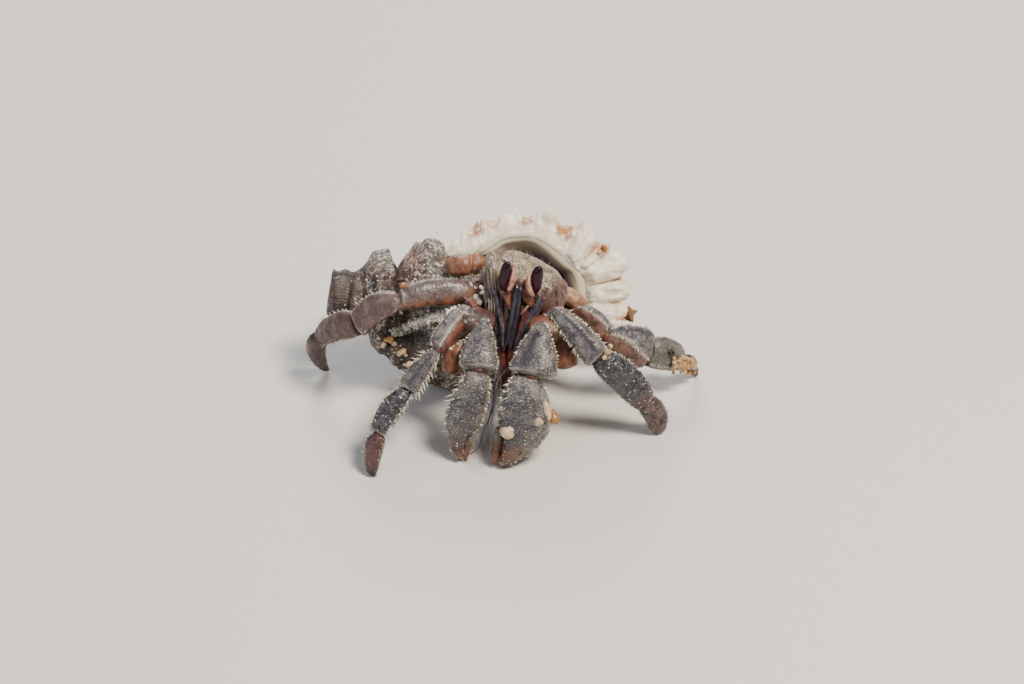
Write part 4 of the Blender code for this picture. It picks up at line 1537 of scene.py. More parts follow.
@dataclass
class Coat:
    """The beads, bristles and spines on one plate of a limb."""

    bone: Bone
    plate: Plate
    surface: Shape
    rng: Draws
    tile: tuple[Array, Array] = field(default_factory=lambda: (np.zeros(2), np.ones(2)))   # of the coat's map

    def sites(self, u: Array, v: Array) -> tuple[Array, Array, Array]:
        """Where things sit on the plate.

        Args:
            u: places along it, 0 to 1.
            v: places round it, 0 to 1.

        Returns:
            The points, the ways straight out, and the places on the coat's map.
        """
        angle = v * FULL
        out = unit(self.bone.outer * np.sin(angle)[:, None] + self.bone.front * np.cos(angle)[:, None])
        return self.surface(u, v)[0], out, self.tile[0] + self.tile[1] * columns(u, v)

    def beads(self) -> list[Strewn]:
        """Pale beads and blunt teeth along both edges, and grains over the face.

        Returns:
            A set for the face and one for each edge, or none on a base or a tip.
        """
        plate, rng = self.plate, self.rng
        if plate.form in (Form.BASE, Form.DACTYL):
            return []
        u, v = rng.uniform(0.08, 0.92, plate.dots), np.mod(rng.uniform(-50, 80, plate.dots) / 360, 1.0)
        size = rng.uniform(0.035, 0.075, (plate.dots, 3))
        at, way, place = self.sites(u, v)
        sets = [Strewn(at, way, size, rng.uniform(0.1, 0.8, plate.dots), place)]
        for degrees in (OUTER_EDGE, plate.border) if plate.seam > 0.2 else (OUTER_EDGE,):
            count = int(self.bone.length * plate.beads)
            u = np.clip(np.linspace(0.08, 0.96, count) + rng.normal(0, 0.01, count), 0.02, 0.98)
            shift = plate.border_turn * (u - 0.5) if degrees == plate.border else 0.0
            at, way, place = self.sites(u, np.mod((degrees + shift + rng.normal(0, 3, count)) / 360, 1.0))
            size = plate.teeth * rng.uniform(0.55, 1.15, count)[:, None] * (0.8, 0.8, 1.3)
            sets.append(Strewn(at, way, size, rng.uniform(0, 0.6, count), place))
        return sets

    def bristles(self) -> list[Strewn]:
        """Bristles along the edges, and short fuzz all over the plate.

        Returns:
            One set.
        """
        plate, rng = self.plate, self.rng
        count = int(self.bone.length * plate.bristles)
        edge = np.where(rng.random(count) < 0.6, plate.border, OUTER_EDGE)
        u = rng.uniform(0.04, 0.99, count + plate.fuzz)
        v = np.concatenate([edge + rng.normal(0, 12, count), rng.uniform(-120, 120, plate.fuzz)])
        at, way, place = self.sites(u, np.mod(v / 360, 1.0))
        lean = rng.uniform(0.5, 1.1, len(u))[:, None] * unit(self.bone.end - self.bone.start)
        way = unit(way + lean + rng.normal(0, 0.22, (len(u), 3)))
        length = plate.bristle_length * rng.uniform(0.5, 1.5, len(u))
        length[count:] *= 0.42
        width = 0.016 + 0.02 * length
        tone = rng.uniform(0, 1, len(u)) ** 2
        tone[count:] = 0.45 + 0.55 * tone[count:]
        return [Strewn(at - way * 0.03, way, columns(width, width, length), tone, place)]

    def spines(self) -> list[Strewn]:
        """Rows of stout pale spines.

        Returns:
            A set for each row.
        """
        rng, sets = self.rng, []
        lean = 0.55 * unit(self.bone.end - self.bone.start)
        for degrees, first, last, count, length in self.plate.spines:
            u = np.linspace(first, last, count) + rng.normal(0, 0.012, count)
            at, way, place = self.sites(u, np.mod((degrees + rng.normal(0, 5, count)) / 360, 1.0))
            way = unit(way + lean + rng.normal(0, 0.12, (count, 3)))
            long = length * rng.uniform(0.75, 1.15, count)
            size = columns(0.03 + 0.07 * long, 0.03 + 0.07 * long, 1.25 * long)
            sets.append(Strewn(at - way * 0.06, way, size, rng.uniform(0, 0.35, count), place))
        return sets


@dataclass
class Limb:
    """One walking leg or claw: a chain of plates with soft joints, pale beads and bristles."""

    name: str
    plates: tuple[Plate, ...]
    outward: int                # 1 on the crab's right side, -1 on its left
    seed: int
    detail: float = 1.0
    overlap: float = 0.16       # of each plate into the one before
    bare_joint: int = 9         # a joint whose skin does not show
    base_drop: float = 0.0      # how much lower than packed the first joint shows
    along_faces: int = 26       # to a millimetre of length
    around_faces: int = 62      # to a millimetre of half width

    def chain(self) -> list[Bone]:
        """Reads the limb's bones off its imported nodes.

        Returns:
            A bone for each plate.
        """
        nodes = [f"{self.name}_{plate.part}" for plate in self.plates]
        clouds = [np.unique(node_points(node).round(3), axis=0) for node in nodes]
        centres = [cloud.mean(0) for cloud in clouds]
        ways = [unit(b - a) for a, b in zip(centres, centres[1:])]
        joints = [end_of(clouds[0], -ways[0])]
        joints += [end_of(cloud, way) for cloud, way in zip(clouds, ways)]
        joints.append(end_of(clouds[-1], np.array([0.0, 0.0, -1.0]), 4))
        joints[1] = joints[1] - self.base_drop * ACROSS_MOUTH
        bones = []
        for i, (node, cloud) in enumerate(zip(nodes, clouds)):
            along = unit(joints[i + 1] - joints[i])
            start, end = joints[i] - self.overlap * along * (i > 0), joints[i + 1]
            sign = -self.outward if self.plates[i].flip else self.outward
            outer = unit(np.cross(along, FACING)) * sign
            front = np.cross(outer, along) * sign
            half = np.array([np.ptp(cloud @ outer), np.ptp(cloud @ front)]) / 2
            bones.append(Bone(node, start, end, outer, front, half, self.seed + 17 * i))
        return bones

    def build(self) -> None:
        """Builds the plates, the joints, the beads and the bristles."""
        bones = self.chain()
        rng = np.random.default_rng(self.seed)
        coats: tuple[list[Strewn], list[Strewn], list[Strewn]] = ([], [], [])
        step = 1.0
        for i, (bone, plate) in enumerate(zip(bones, self.plates)):
            along = int(min(140, max(40, bone.length * self.along_faces)) * step * self.detail)
            around = int(min(120, max(44, bone.half[0] * self.around_faces)) * step * self.detail)
            surface = bone.surface(plate)
            self.dress(rolled(f"{bone.node}_plate", along, around, surface), plate, bone)
            tile = np.array([i / len(bones), 0.0]), np.array([1 / len(bones), 1.0])
            coat = Coat(bone, plate, surface, rng, tile)
            for kept, grown in zip(coats, (coat.beads(), coat.bristles(), coat.spines())):
                kept.extend(grown)
        self.joints(bones)
        beads, bristles, spines = coats
        shown(Strewn.joined(beads).mesh(f"{self.name}_beads", pebble(), rng), BEAD)
        shown(Strewn.joined(bristles).mesh(f"{self.name}_bristles", bristle(), rng), HAIR)
        if spines:
            shown(Strewn.joined(spines).mesh(f"{self.name}_spines", spine(), rng), SPINE)

    def dress(self, skin: Piece, plate: Plate, bone: Bone) -> None:
        """Enters one plate in the model."""
        shown(skin, plate.finish, [bone.node])

    def joints(self, bones: Sequence[Bone]) -> None:
        """Builds the soft skin that shows between two plates, as one mesh of knuckles.

        Args:
            bones: the limb's bones.
        """
        places = [
            Strewn(
                a.end[None], unit(a.end - a.start)[None],
                np.array([[0.56, 0.56, 0.4]]) * min(a.half[1], b.half[0]), np.zeros(1), np.zeros((1, 2)),
            )
            for i, (a, b) in enumerate(zip(bones, bones[1:]))
            if i != self.bare_joint
        ]
        obj = Strewn.joined(places).mesh(f"{self.name}_joint_skin", pebble(3), np.random.default_rng(3))
        shown(obj, SKIN)


@dataclass
class Claw(Limb):
    """A claw arm, whose hand and moving finger have outlines of their own, in millimetres."""

    finger: Plate | None = None
    finger_from: float = 0.6            # where along the hand the finger starts
    finger_shift: tuple[float, float] = (-1.0, -0.7)     # outwards from the hand's line, at its ends

    def chain(self) -> list[Bone]:
        """Reads the arm's bones. The hand's outline is in millimetres and not scaled by its girth.

        Returns:
            A bone for each plate.
        """
        bones = super().chain()
        bones[-1].half = np.ones(2)
        return bones

    def build(self) -> None:
        """Builds the arm and the hand, then the finger."""
        super().build()
        hand = self.chain()[-1]
        way = hand.end - hand.start
        start = hand.start + way * self.finger_from + hand.outer * self.finger_shift[0]
        end = hand.end + hand.outer * self.finger_shift[1]
        bone = Bone(f"{self.name}_finger", start, end, hand.outer, hand.front, np.ones(2), self.seed + 90)
        rng = np.random.default_rng(self.seed + 1)
        surface = bone.surface(self.finger)
        detail = 1.0
        self.dress(rolled(f"{bone.node}_plate", int(70 * detail), int(52 * detail), surface), self.finger, bone)
        hairs = Strewn.joined(Coat(bone, self.finger, surface, rng).bristles())
        shown(hairs.mesh(f"{bone.node}_bristles", bristle(), rng), HAIR)


RIGHT_HAND = (
    (0.0, 0.62, 0.62, 0.55, 0.5), (0.07, 0.86, 0.82, 0.85, 0.7), (0.22, 1.16, 1.1, 1.05, 0.9),
    (0.4, 1.5, 1.0, 1.15, 0.95), (0.58, 1.6, 0.88, 1.1, 0.95), (0.68, 1.36, 0.36, 0.98, 0.85),
    (0.85, 0.78, 0.18, 0.72, 0.6), (0.96, 0.42, 0.1, 0.45, 0.35), (1.0, 0.25, 0.05, 0.25, 0.2),
)
LEFT_HAND = (
    (0.0, 0.85, 0.85, 0.6, 0.6), (0.08, 1.15, 1.3, 1.0, 0.85), (0.2, 1.85, 1.45, 1.3, 1.05),
    (0.35, 2.25, 1.5, 1.45, 1.15), (0.52, 2.5, 1.35, 1.45, 1.15), (0.64, 2.15, 0.62, 1.32, 1.05),
    (0.8, 1.38, 0.38, 1.05, 0.8), (0.93, 0.62, 0.3, 0.68, 0.5), (1.0, 0.25, 0.2, 0.3, 0.3),
)
RIGHT_FINGER = (
    (0.0, 0.2, 0.3, 0.4, 0.35), (0.2, 0.3, 0.34, 0.5, 0.4), (0.6, 0.3, 0.3, 0.42, 0.35),
    (0.9, 0.2, 0.16, 0.24, 0.2), (1.0, 0.1, 0.06, 0.1, 0.1),
)
LEFT_FINGER = (
    (0.0, 0.25, 0.3, 0.5, 0.45), (0.2, 0.36, 0.42, 0.62, 0.5), (0.55, 0.36, 0.42, 0.55, 0.45),
    (0.85, 0.28, 0.3, 0.36, 0.3), (1.0, 0.14, 0.12, 0.16, 0.16),
)

FULL_CARPUS = (
    (0.0, 0.45, 0.5, 0.5, 0.45), (0.15, 0.75, 0.78, 0.8, 0.7), (0.45, 1.0, 1.0, 1.0, 1.0),
    (0.75, 1.0, 1.05, 1.0, 1.0), (1.0, 0.9, 1.0, 0.85, 0.8),
)
LEAN_CARPUS = (
    (0.0, 0.22, 0.4, 0.45, 0.4), (0.15, 0.4, 0.62, 0.7, 0.64), (0.4, 0.6, 0.84, 0.9, 0.9),
    (0.68, 0.74, 0.96, 1.0, 1.0), (0.88, 0.8, 0.98, 1.0, 0.95), (1.0, 0.7, 0.84, 0.78, 0.7),
)
FULL_PROPODUS = (
    (0.0, 0.8, 0.9, 0.8, 0.7), (0.2, 1.0, 1.05, 1.0, 0.9), (0.6, 1.0, 1.0, 1.0, 0.95),
    (0.88, 0.85, 0.8, 0.8, 0.8), (1.0, 0.6, 0.55, 0.6, 0.6),
)
POINTED_CARPUS = (
    (0.0, 0.12, 0.12, 0.3, 0.3), (0.15, 0.36, 0.38, 0.62, 0.55), (0.4, 0.74, 0.76, 0.92, 0.85),
    (0.68, 1.02, 1.02, 1.04, 1.0), (0.88, 1.12, 1.1, 1.02, 0.95), (1.0, 0.98, 0.95, 0.8, 0.7),
)
BLUNT_DACTYL = (
    (0.0, 0.7, 0.7, 0.75, 0.6), (0.15, 0.98, 0.95, 1.0, 0.9), (0.5, 1.02, 1.0, 1.0, 1.0),
    (0.78, 0.86, 0.84, 0.84, 0.84), (0.93, 0.56, 0.56, 0.56, 0.56), (1.0, 0.2, 0.2, 0.2, 0.2),
)
RIGHT_CLAW_MERUS = (
    (0.0, 0.7, 0.6, 0.6, 0.6), (0.15, 1.15, 0.9, 1.0, 0.9), (0.5, 1.5, 1.0, 1.05, 1.0),
    (0.85, 1.4, 0.95, 1.0, 0.9), (1.0, 0.95, 0.7, 0.7, 0.7),
)
LEFT_CLAW_MERUS = (
    (0.0, 0.8, 0.6, 0.6, 0.6), (0.15, 1.35, 0.9, 1.0, 0.9), (0.5, 1.6, 1.0, 1.05, 1.0),
    (0.85, 1.35, 0.9, 1.0, 0.9), (1.0, 0.95, 0.7, 0.7, 0.7),
)

STOUT_DACTYL = (
    (0.0, 0.55, 0.6, 0.7, 0.6), (0.1, 0.85, 0.88, 0.95, 0.9), (0.3, 0.95, 1.0, 1.0, 1.0),
    (0.6, 0.8, 0.86, 0.86, 0.84), (0.85, 0.58, 0.6, 0.58, 0.56), (0.96, 0.36, 0.4, 0.36, 0.36),
    (1.0, 0.15, 0.15, 0.15, 0.15),
)
SMALL_DACTYL = (
    (0.0, 0.5, 0.5, 0.5, 0.5), (0.3, 0.7, 0.7, 0.7, 0.7), (0.8, 0.4, 0.4, 0.4, 0.4), (1.0, 0.1, 0.1, 0.1, 0.1),
)

LEG_BASE = Plate("base", Form.BASE, LIMB, border=-60, fuzz=20, under_from=-0.2)
ARM_BASE = Plate("base", Form.BASE, SKIN, border=-60, fuzz=20)

LIMBS = (
    Limb("leg3_right", (
        LEG_BASE,
        Plate("merus", Form.MERUS, LIMB_PLUM, border=-12, blend=45, seam=0.08, teeth=0.05, granules=0.03, bow=0.06,
              beads=4, bristles=6, fuzz=70, bare_base=0.12),
        Plate("carpus", Form.CARPUS, LIMB_TAN, border=-55, blend=40, seam=0.15, teeth=0.06, granules=0.03, bow=0.08,
              bristles=10, fuzz=60, spines=((92, 0.3, 0.95, 6, 0.24),), profile=FULL_CARPUS),
        Plate("propodus", Form.PROPODUS, LIMB_BROWN, border=-60, blend=30, seam=0.2, teeth=0.07, granules=0.03,
              bow=0.05, bristles=14, bristle_length=0.36, fuzz=24, profile=FULL_PROPODUS,
              spines=((92, 0.2, 0.95, 8, 0.32), (-95, 0.3, 0.95, 8, 0.34))),
        Plate("dactyl", Form.DACTYL, HORN, border=-70, seam=0.4, bow=0.1, bristles=6, fuzz=20, horn_from=0.85),
    ), 1, 301, overlap=0.4, base_drop=0.4),
    Limb("leg2_right", (
        LEG_BASE,
        Plate("merus", Form.MERUS, LIMB, border=0, teeth=0.08, beads=5, bow=0.03, fuzz=60),
        Plate("carpus", Form.CARPUS, LIMB, border=-60, stripe=8, stripe_width=14, teeth=0.1, bristles=16, slim=0.84,
              bristle_length=0.42, beads=4, spines=((92, 0.2, 0.97, 9, 0.42), (-62, 0.25, 0.97, 9, 0.5))),
        Plate("propodus", Form.PROPODUS, LIMB_INK, border=-52, teeth=0.09, granules=0.07, bow=0.05, slim=0.86,
              bristles=16, bristle_length=0.36, beads=4, dots=26,
              spines=((92, 0.1, 0.97, 8, 0.34), (-58, 0.1, 0.97, 8, 0.34))),
        Plate("dactyl", Form.DACTYL, HORN, border=-50, seam=0.5, bow=0.05, bristles=20, bristle_length=0.3,
              horn_from=0.75, spines=((92, 0.1, 0.8, 5, 0.2), (-70, 0.5, 0.9, 5, 0.2)), profile=STOUT_DACTYL),
    ), 1, 401),
    Limb("leg3_left", (
        LEG_BASE,
        Plate("merus", Form.MERUS, LIMB_RIDGE, border=38, teeth=0.07, beads=5, bow=0.03,
              spines=((92, 0.2, 0.95, 7, 0.22),)),
        Plate("carpus", Form.CARPUS, LIMB_RIDGE, border=0, border_turn=-50, stripe=58, stripe_width=9, teeth=0.09,
              beads=5, bristles=16, granules=0.06, spines=((92, 0.2, 0.95, 6, 0.22),)),
        Plate("propodus", Form.PROPODUS, LIMB_MOSS, border=-50, blend=25, seam=0.5, teeth=0.07, granules=0.06,
              bristles=12, profile=FULL_PROPODUS),
        Plate("dactyl", Form.DACTYL, HORN, border=-60, seam=0.4, bow=0.06, bristles=12, horn_from=0.8,
              profile=SMALL_DACTYL),
    ), -1, 501),
    Limb("leg2_left", (
        LEG_BASE,
        Plate("merus", Form.MERUS, LIMB_RIDGE, border=40, teeth=0.05, beads=4, seam=0.4,
              spines=((92, 0.3, 0.95, 5, 0.22),)),
        Plate("carpus", Form.CARPUS, LIMB, border=-70, stripe=5, stripe_width=14, teeth=0.1, beads=4,
              bristles=18, bristle_length=0.32, spines=((92, 0.2, 0.97, 7, 0.26), (-70, 0.3, 0.97, 7, 0.3)),
              profile=LEAN_CARPUS),
        Plate("propodus", Form.PROPODUS, LIMB_INK, border=-80, teeth=0.06, granules=0.08, bow=0.04, under_from=0.8,
              bristles=12, beads=4, spines=((-80, 0.3, 0.97, 6, 0.2),), dots=34, slim=0.94),
        Plate("dactyl", Form.DACTYL, LIMB_SPECKLED, border=-75, seam=0.4, bow=0.06, granules=0.07, bristles=14,
              horn_from=0.99, profile=BLUNT_DACTYL),
    ), -1, 601, overlap=0.45),
    Claw("claw_right", (
        ARM_BASE,
        Plate("merus", Form.WHOLE, ARM_DARK, border=60, granules=0.03, bristles=14, bristle_length=0.4,
              profile=RIGHT_CLAW_MERUS, spines=((85, 0.3, 0.95, 6, 0.36),), flip=True),
        Plate("carpus", Form.CARPUS, HAND, border=-80, teeth=0.09, beads=5, bristles=12, fuzz=60,
              dark_middle=0, profile=POINTED_CARPUS),
        Plate("hand", Form.WHOLE, HAND, border=-80, teeth=0.12, granules=0.08, bristles=14, beads=3,
              bristle_length=0.36, fuzz=110, under_from=0.74, profile=RIGHT_HAND, bow=0.0, dark_middle=-5,
              dots=34, spines=((92, 0.12, 0.66, 9, 0.5), (70, 0.15, 0.7, 7, 0.34), (-80, 0.1, 0.5, 6, 0.26))),
    ), 1, 701, detail=1.2, bare_joint=1, finger=Plate(
        "finger", Form.WHOLE, HAND, profile=RIGHT_FINGER, border=-70, bow=0.04, bristles=24,
        bristle_length=0.26, horn_from=0.92, under_from=0.3), finger_from=0.62, finger_shift=(-0.62, -0.4)),
    Claw("claw_left", (
        ARM_BASE,
        Plate("merus", Form.WHOLE, ARM_AMBER, border=75, granules=0.01, bristles=6, bristle_length=0.35, seam=0.1,
              profile=LEFT_CLAW_MERUS, flip=True),
        Plate("carpus", Form.CARPUS, HAND, border=-80, stripe=-24, stripe_width=26, teeth=0.1, beads=5,
              bristles=10, fuzz=60, profile=POINTED_CARPUS, spines=((-82, 0.4, 0.97, 6, 0.22),)),
        Plate("hand", Form.WHOLE, HAND, border=-80, teeth=0.12, granules=0.08, bristles=12, beads=3,
              bristle_length=0.3, fuzz=110, under_from=0.68, profile=LEFT_HAND, bow=0.0, dark_middle=0,
              dots=34, spines=((-84, 0.04, 0.58, 13, 0.4), (-62, 0.1, 0.5, 8, 0.24))),
    ), -1, 801, detail=1.3, bare_joint=1, finger=Plate(
        "finger", Form.WHOLE, HAND, profile=LEFT_FINGER, border=-70, bow=0.04, bristles=20,
        bristle_length=0.24, horn_from=0.95, under_from=0.25), finger_from=0.6, finger_shift=(-1.05, -0.75)),
)


# ---- body


@dataclass(frozen=True)
class Strand:
    """One small limb or blade of the face.

    Each knot gives steps to the crab's left, up and forwards from the middle of the right eye, then
    half the width and half the depth.
    """

    name: str
    finish: Finish
    slot: str
    knots: Table
    node: str = ""
    ridges: int = 3
    relief: float = 0.03

    def build(self) -> None:
        """Rolls the strand along a smooth line through its knots."""
        rows = np.array([[i, *knot] for i, knot in enumerate(self.knots)])
        last = len(rows) - 1

        def line(step: Array) -> Array:
            """The middle of the strand."""
            return from_facing(columns(*(flowing(step, rows, k) for k in (1, 2, 3))))

        def shape(u: Array, v: Array) -> Skin:
            """A flattened tube with lengthwise ridges and a mark along its edges, where some finishes paint a
            highlight.

            Args:
                u: places along it, 0 to 1.
                v: places round it, 0 to 1.

            Returns:
                The points, and the marks by name.
            """
            step = u * last
            along = unit(line(step + 0.05) - line(step - 0.05))
            side_way = unit(np.cross(along, FACING))
            front = np.cross(side_way, along)
            angle = v * FULL
            c, sn = np.cos(angle), np.sin(angle)
            closing = closed(u, 0.06)
            base = line(step)
            wave = 1 + 0.1 * lumps(base, 0.7, 71)
            half, deep = (flowing(step, rows, k) * closing * wave for k in (4, 5))
            ridge = self.relief * np.cos(angle * 2 * self.ridges) * closing
            points = base + side_way * (c * (half + ridge))[:, None] + front * (sn * (deep + ridge))[:, None]
            # margin marks the sides, where the edged finishes paint a highlight
            return points, {"margin": 0.8 * fade(np.abs(c), 0.72, 0.95)}

        length = np.linalg.norm(np.diff(from_facing(rows[:, 1:4]), axis=0), axis=1).sum()
        piece = rolled(self.name, int(min(160, max(24, length * 14))), 28, shape)
        shown(piece, self.finish, [self.node] if self.node else [])


STRANDS = (
    Strand("eyestalk_right_skin", STALK, "stalk", (
        (0.6, 1.0, 0.0, 0.1, 0.2), (0.66, 0.4, 0.1, 0.2, 0.3), (0.56, -0.3, 0.1, 0.24, 0.35),
        (0.25, -1.1, 0.0, 0.16, 0.3)), "eyestalk_right", relief=0.01),
    Strand("eyestalk_left_skin", STALK, "stalk", (
        (1.9, 0.25, 0.0, 0.1, 0.2), (1.76, -0.4, 0.1, 0.2, 0.3), (1.86, -0.95, 0.1, 0.22, 0.35),
        (2.2, -1.5, 0.0, 0.14, 0.3)), "eyestalk_left", relief=0.01),
    Strand("antennule_right_skin", FEELER, "feeler", (
        (0.95, -0.55, -0.3, 0.16, 0.2), (0.75, -1.9, -0.7, 0.26, 0.24), (0.42, -3.6, -1.3, 0.24, 0.22),
        (0.1, -5.2, -1.9, 0.14, 0.14)), "antennule_right"),
    Strand("antennule_left_skin", FEELER, "feeler", (
        (1.2, -0.75, -0.5, 0.14, 0.2), (1.05, -2.1, -0.95, 0.22, 0.22), (0.72, -3.8, -1.5, 0.2, 0.2),
        (0.35, -5.4, -2.0, 0.12, 0.12)), "antennule_left"),
    Strand("antenna_base_right_skin", PEDUNCLE, "limb", (
        (-0.75, -0.9, -0.9, 0.1, 0.2), (-0.5, -2.2, -1.25, 0.17, 0.26), (-0.22, -4.0, -1.65, 0.15, 0.24),
        (-0.12, -5.3, -2.0, 0.1, 0.14)), "antenna_base_right"),
    Strand("antenna_base_left_skin", PEDUNCLE, "limb", (
        (2.75, -1.2, -0.8, 0.1, 0.2), (2.3, -2.4, -1.15, 0.17, 0.26), (1.5, -3.9, -1.55, 0.15, 0.24),
        (0.75, -5.2, -1.95, 0.1, 0.14)), "antenna_base_left"),
    Strand("mouth_limb_right_skin", MAROON, "limb_under", (
        (-0.35, -3.6, -2.4, 0.25, 0.4), (-0.3, -5.3, -2.9, 0.36, 0.45), (-0.1, -7.6, -3.0, 0.32, 0.4),
        (0.0, -9.4, -3.1, 0.16, 0.2)), "maxilliped_right"),
    Strand("mouth_limb_left_skin", MAROON, "limb_under", (
        (0.75, -3.6, -2.4, 0.25, 0.4), (0.5, -5.3, -2.9, 0.34, 0.45), (0.3, -7.8, -3.1, 0.3, 0.4),
        (0.25, -9.6, -3.2, 0.16, 0.2)), "maxilliped_left"),
    Strand("brow_plate_right", BROW, "limb_under", (
        (-0.3, -1.0, -0.65, 0.16, 0.2), (0.15, -1.5, -0.6, 0.3, 0.25), (0.42, -2.5, -1.0, 0.16, 0.2)), relief=0.05),
    Strand("brow_plate_left", BROW, "limb_under", (
        (1.25, -0.75, -0.6, 0.14, 0.2), (1.7, -1.5, -0.6, 0.32, 0.25), (2.2, -2.3, -1.0, 0.18, 0.2)), relief=0.05),
    Strand("mouth_plate_left", MAROON, "limb_under", (
        (1.1, -1.9, -1.1, 0.2, 0.2), (1.55, -2.9, -1.4, 0.42, 0.25), (1.2, -4.1, -1.8, 0.3, 0.2),
        (0.7, -5.2, -2.1, 0.1, 0.1))),
    Strand("mouth_plate_right", MAROON, "limb_under", (
        (0.1, -1.9, -1.2, 0.16, 0.2), (0.15, -3.0, -1.6, 0.3, 0.22), (0.05, -4.2, -1.9, 0.24, 0.2),
        (0.0, -5.3, -2.2, 0.1, 0.1))),
    Strand("palp", STALK, "limb", (
        (1.85, -2.1, -0.7, 0.07, 0.08), (1.5, -2.5, -0.85, 0.09, 0.09), (1.2, -2.85, -1.1, 0.05, 0.06))),
    Strand("outer_face_left", FLANK_DARK, "flank", (
        (3.55, -1.5, -1.75, 0.06, 0.15), (3.2, -2.5, -1.65, 0.34, 0.3), (2.6, -3.8, -2.0, 0.45, 0.3),
        (1.4, -5.4, -2.6, 0.2, 0.18)), relief=0.01),
    Strand("haunch_left", HAUNCH, "limb_under", (
        (3.5, -2.5, -1.7, 0.35, 0.4), (3.9, -3.9, -1.6, 0.72, 0.6), (4.45, -5.6, -1.6, 1.0, 0.7),
        (4.7, -7.0, -1.8, 0.85, 0.6)), ridges=2, relief=0.02),
    Strand("haunch_right", HAUNCH, "limb_under", (
        (-3.1, -4.6, -1.8, 0.35, 0.4), (-3.7, -5.8, -1.6, 0.72, 0.6), (-4.0, -6.6, -1.6, 0.8, 0.6),
        (-4.1, -7.3, -1.8, 0.6, 0.5)), ridges=2, relief=0.02),
) + tuple(
    Strand(f"mouth_blade_{side}_{i}", finish, "limb_under", tuple(
        (a + spread * (1 - k / 3), b - 0.15 * i, f - 0.12 * abs(spread) / 0.3, 0.75 * half, 0.2)
        for k, (a, b, f, half) in enumerate(knots)))
    for side, knots in (
        ("right", (
            (-0.7, -1.0, -0.95, 0.1), (-0.48, -2.3, -1.3, 0.17), (-0.2, -4.0, -1.7, 0.15),
            (-0.1, -5.4, -2.05, 0.08))),
        ("left", (
            (2.7, -1.3, -0.85, 0.1), (2.25, -2.5, -1.2, 0.17), (1.45, -4.0, -1.6, 0.15), (0.7, -5.3, -2.0, 0.08))),
    )
    for i, (spread, finish) in enumerate((
        (-0.42, BLADE), (0.38, BLADE), (0.7 if side == "right" else -0.8, FEELER)))
) + tuple(
    Strand(f"side_lath_{i}", LATH, "flank", (
        (x - 0.1, top, -0.95 - 0.2 * i, 0.05, 0.1), (x, top - 1.6, -1.15 - 0.15 * i, 0.13, 0.15),
        (x + 0.2, top - 3.6, -1.7 - 0.1 * i, 0.12, 0.14), (x + 0.55, -5.2, -2.2, 0.06, 0.08)), ridges=2, relief=0.015)
    for i, (x, top) in enumerate(((-0.75, 0.2), (-1.0, 0.4), (-1.22, 0.5), (-1.42, 0.2)))
)


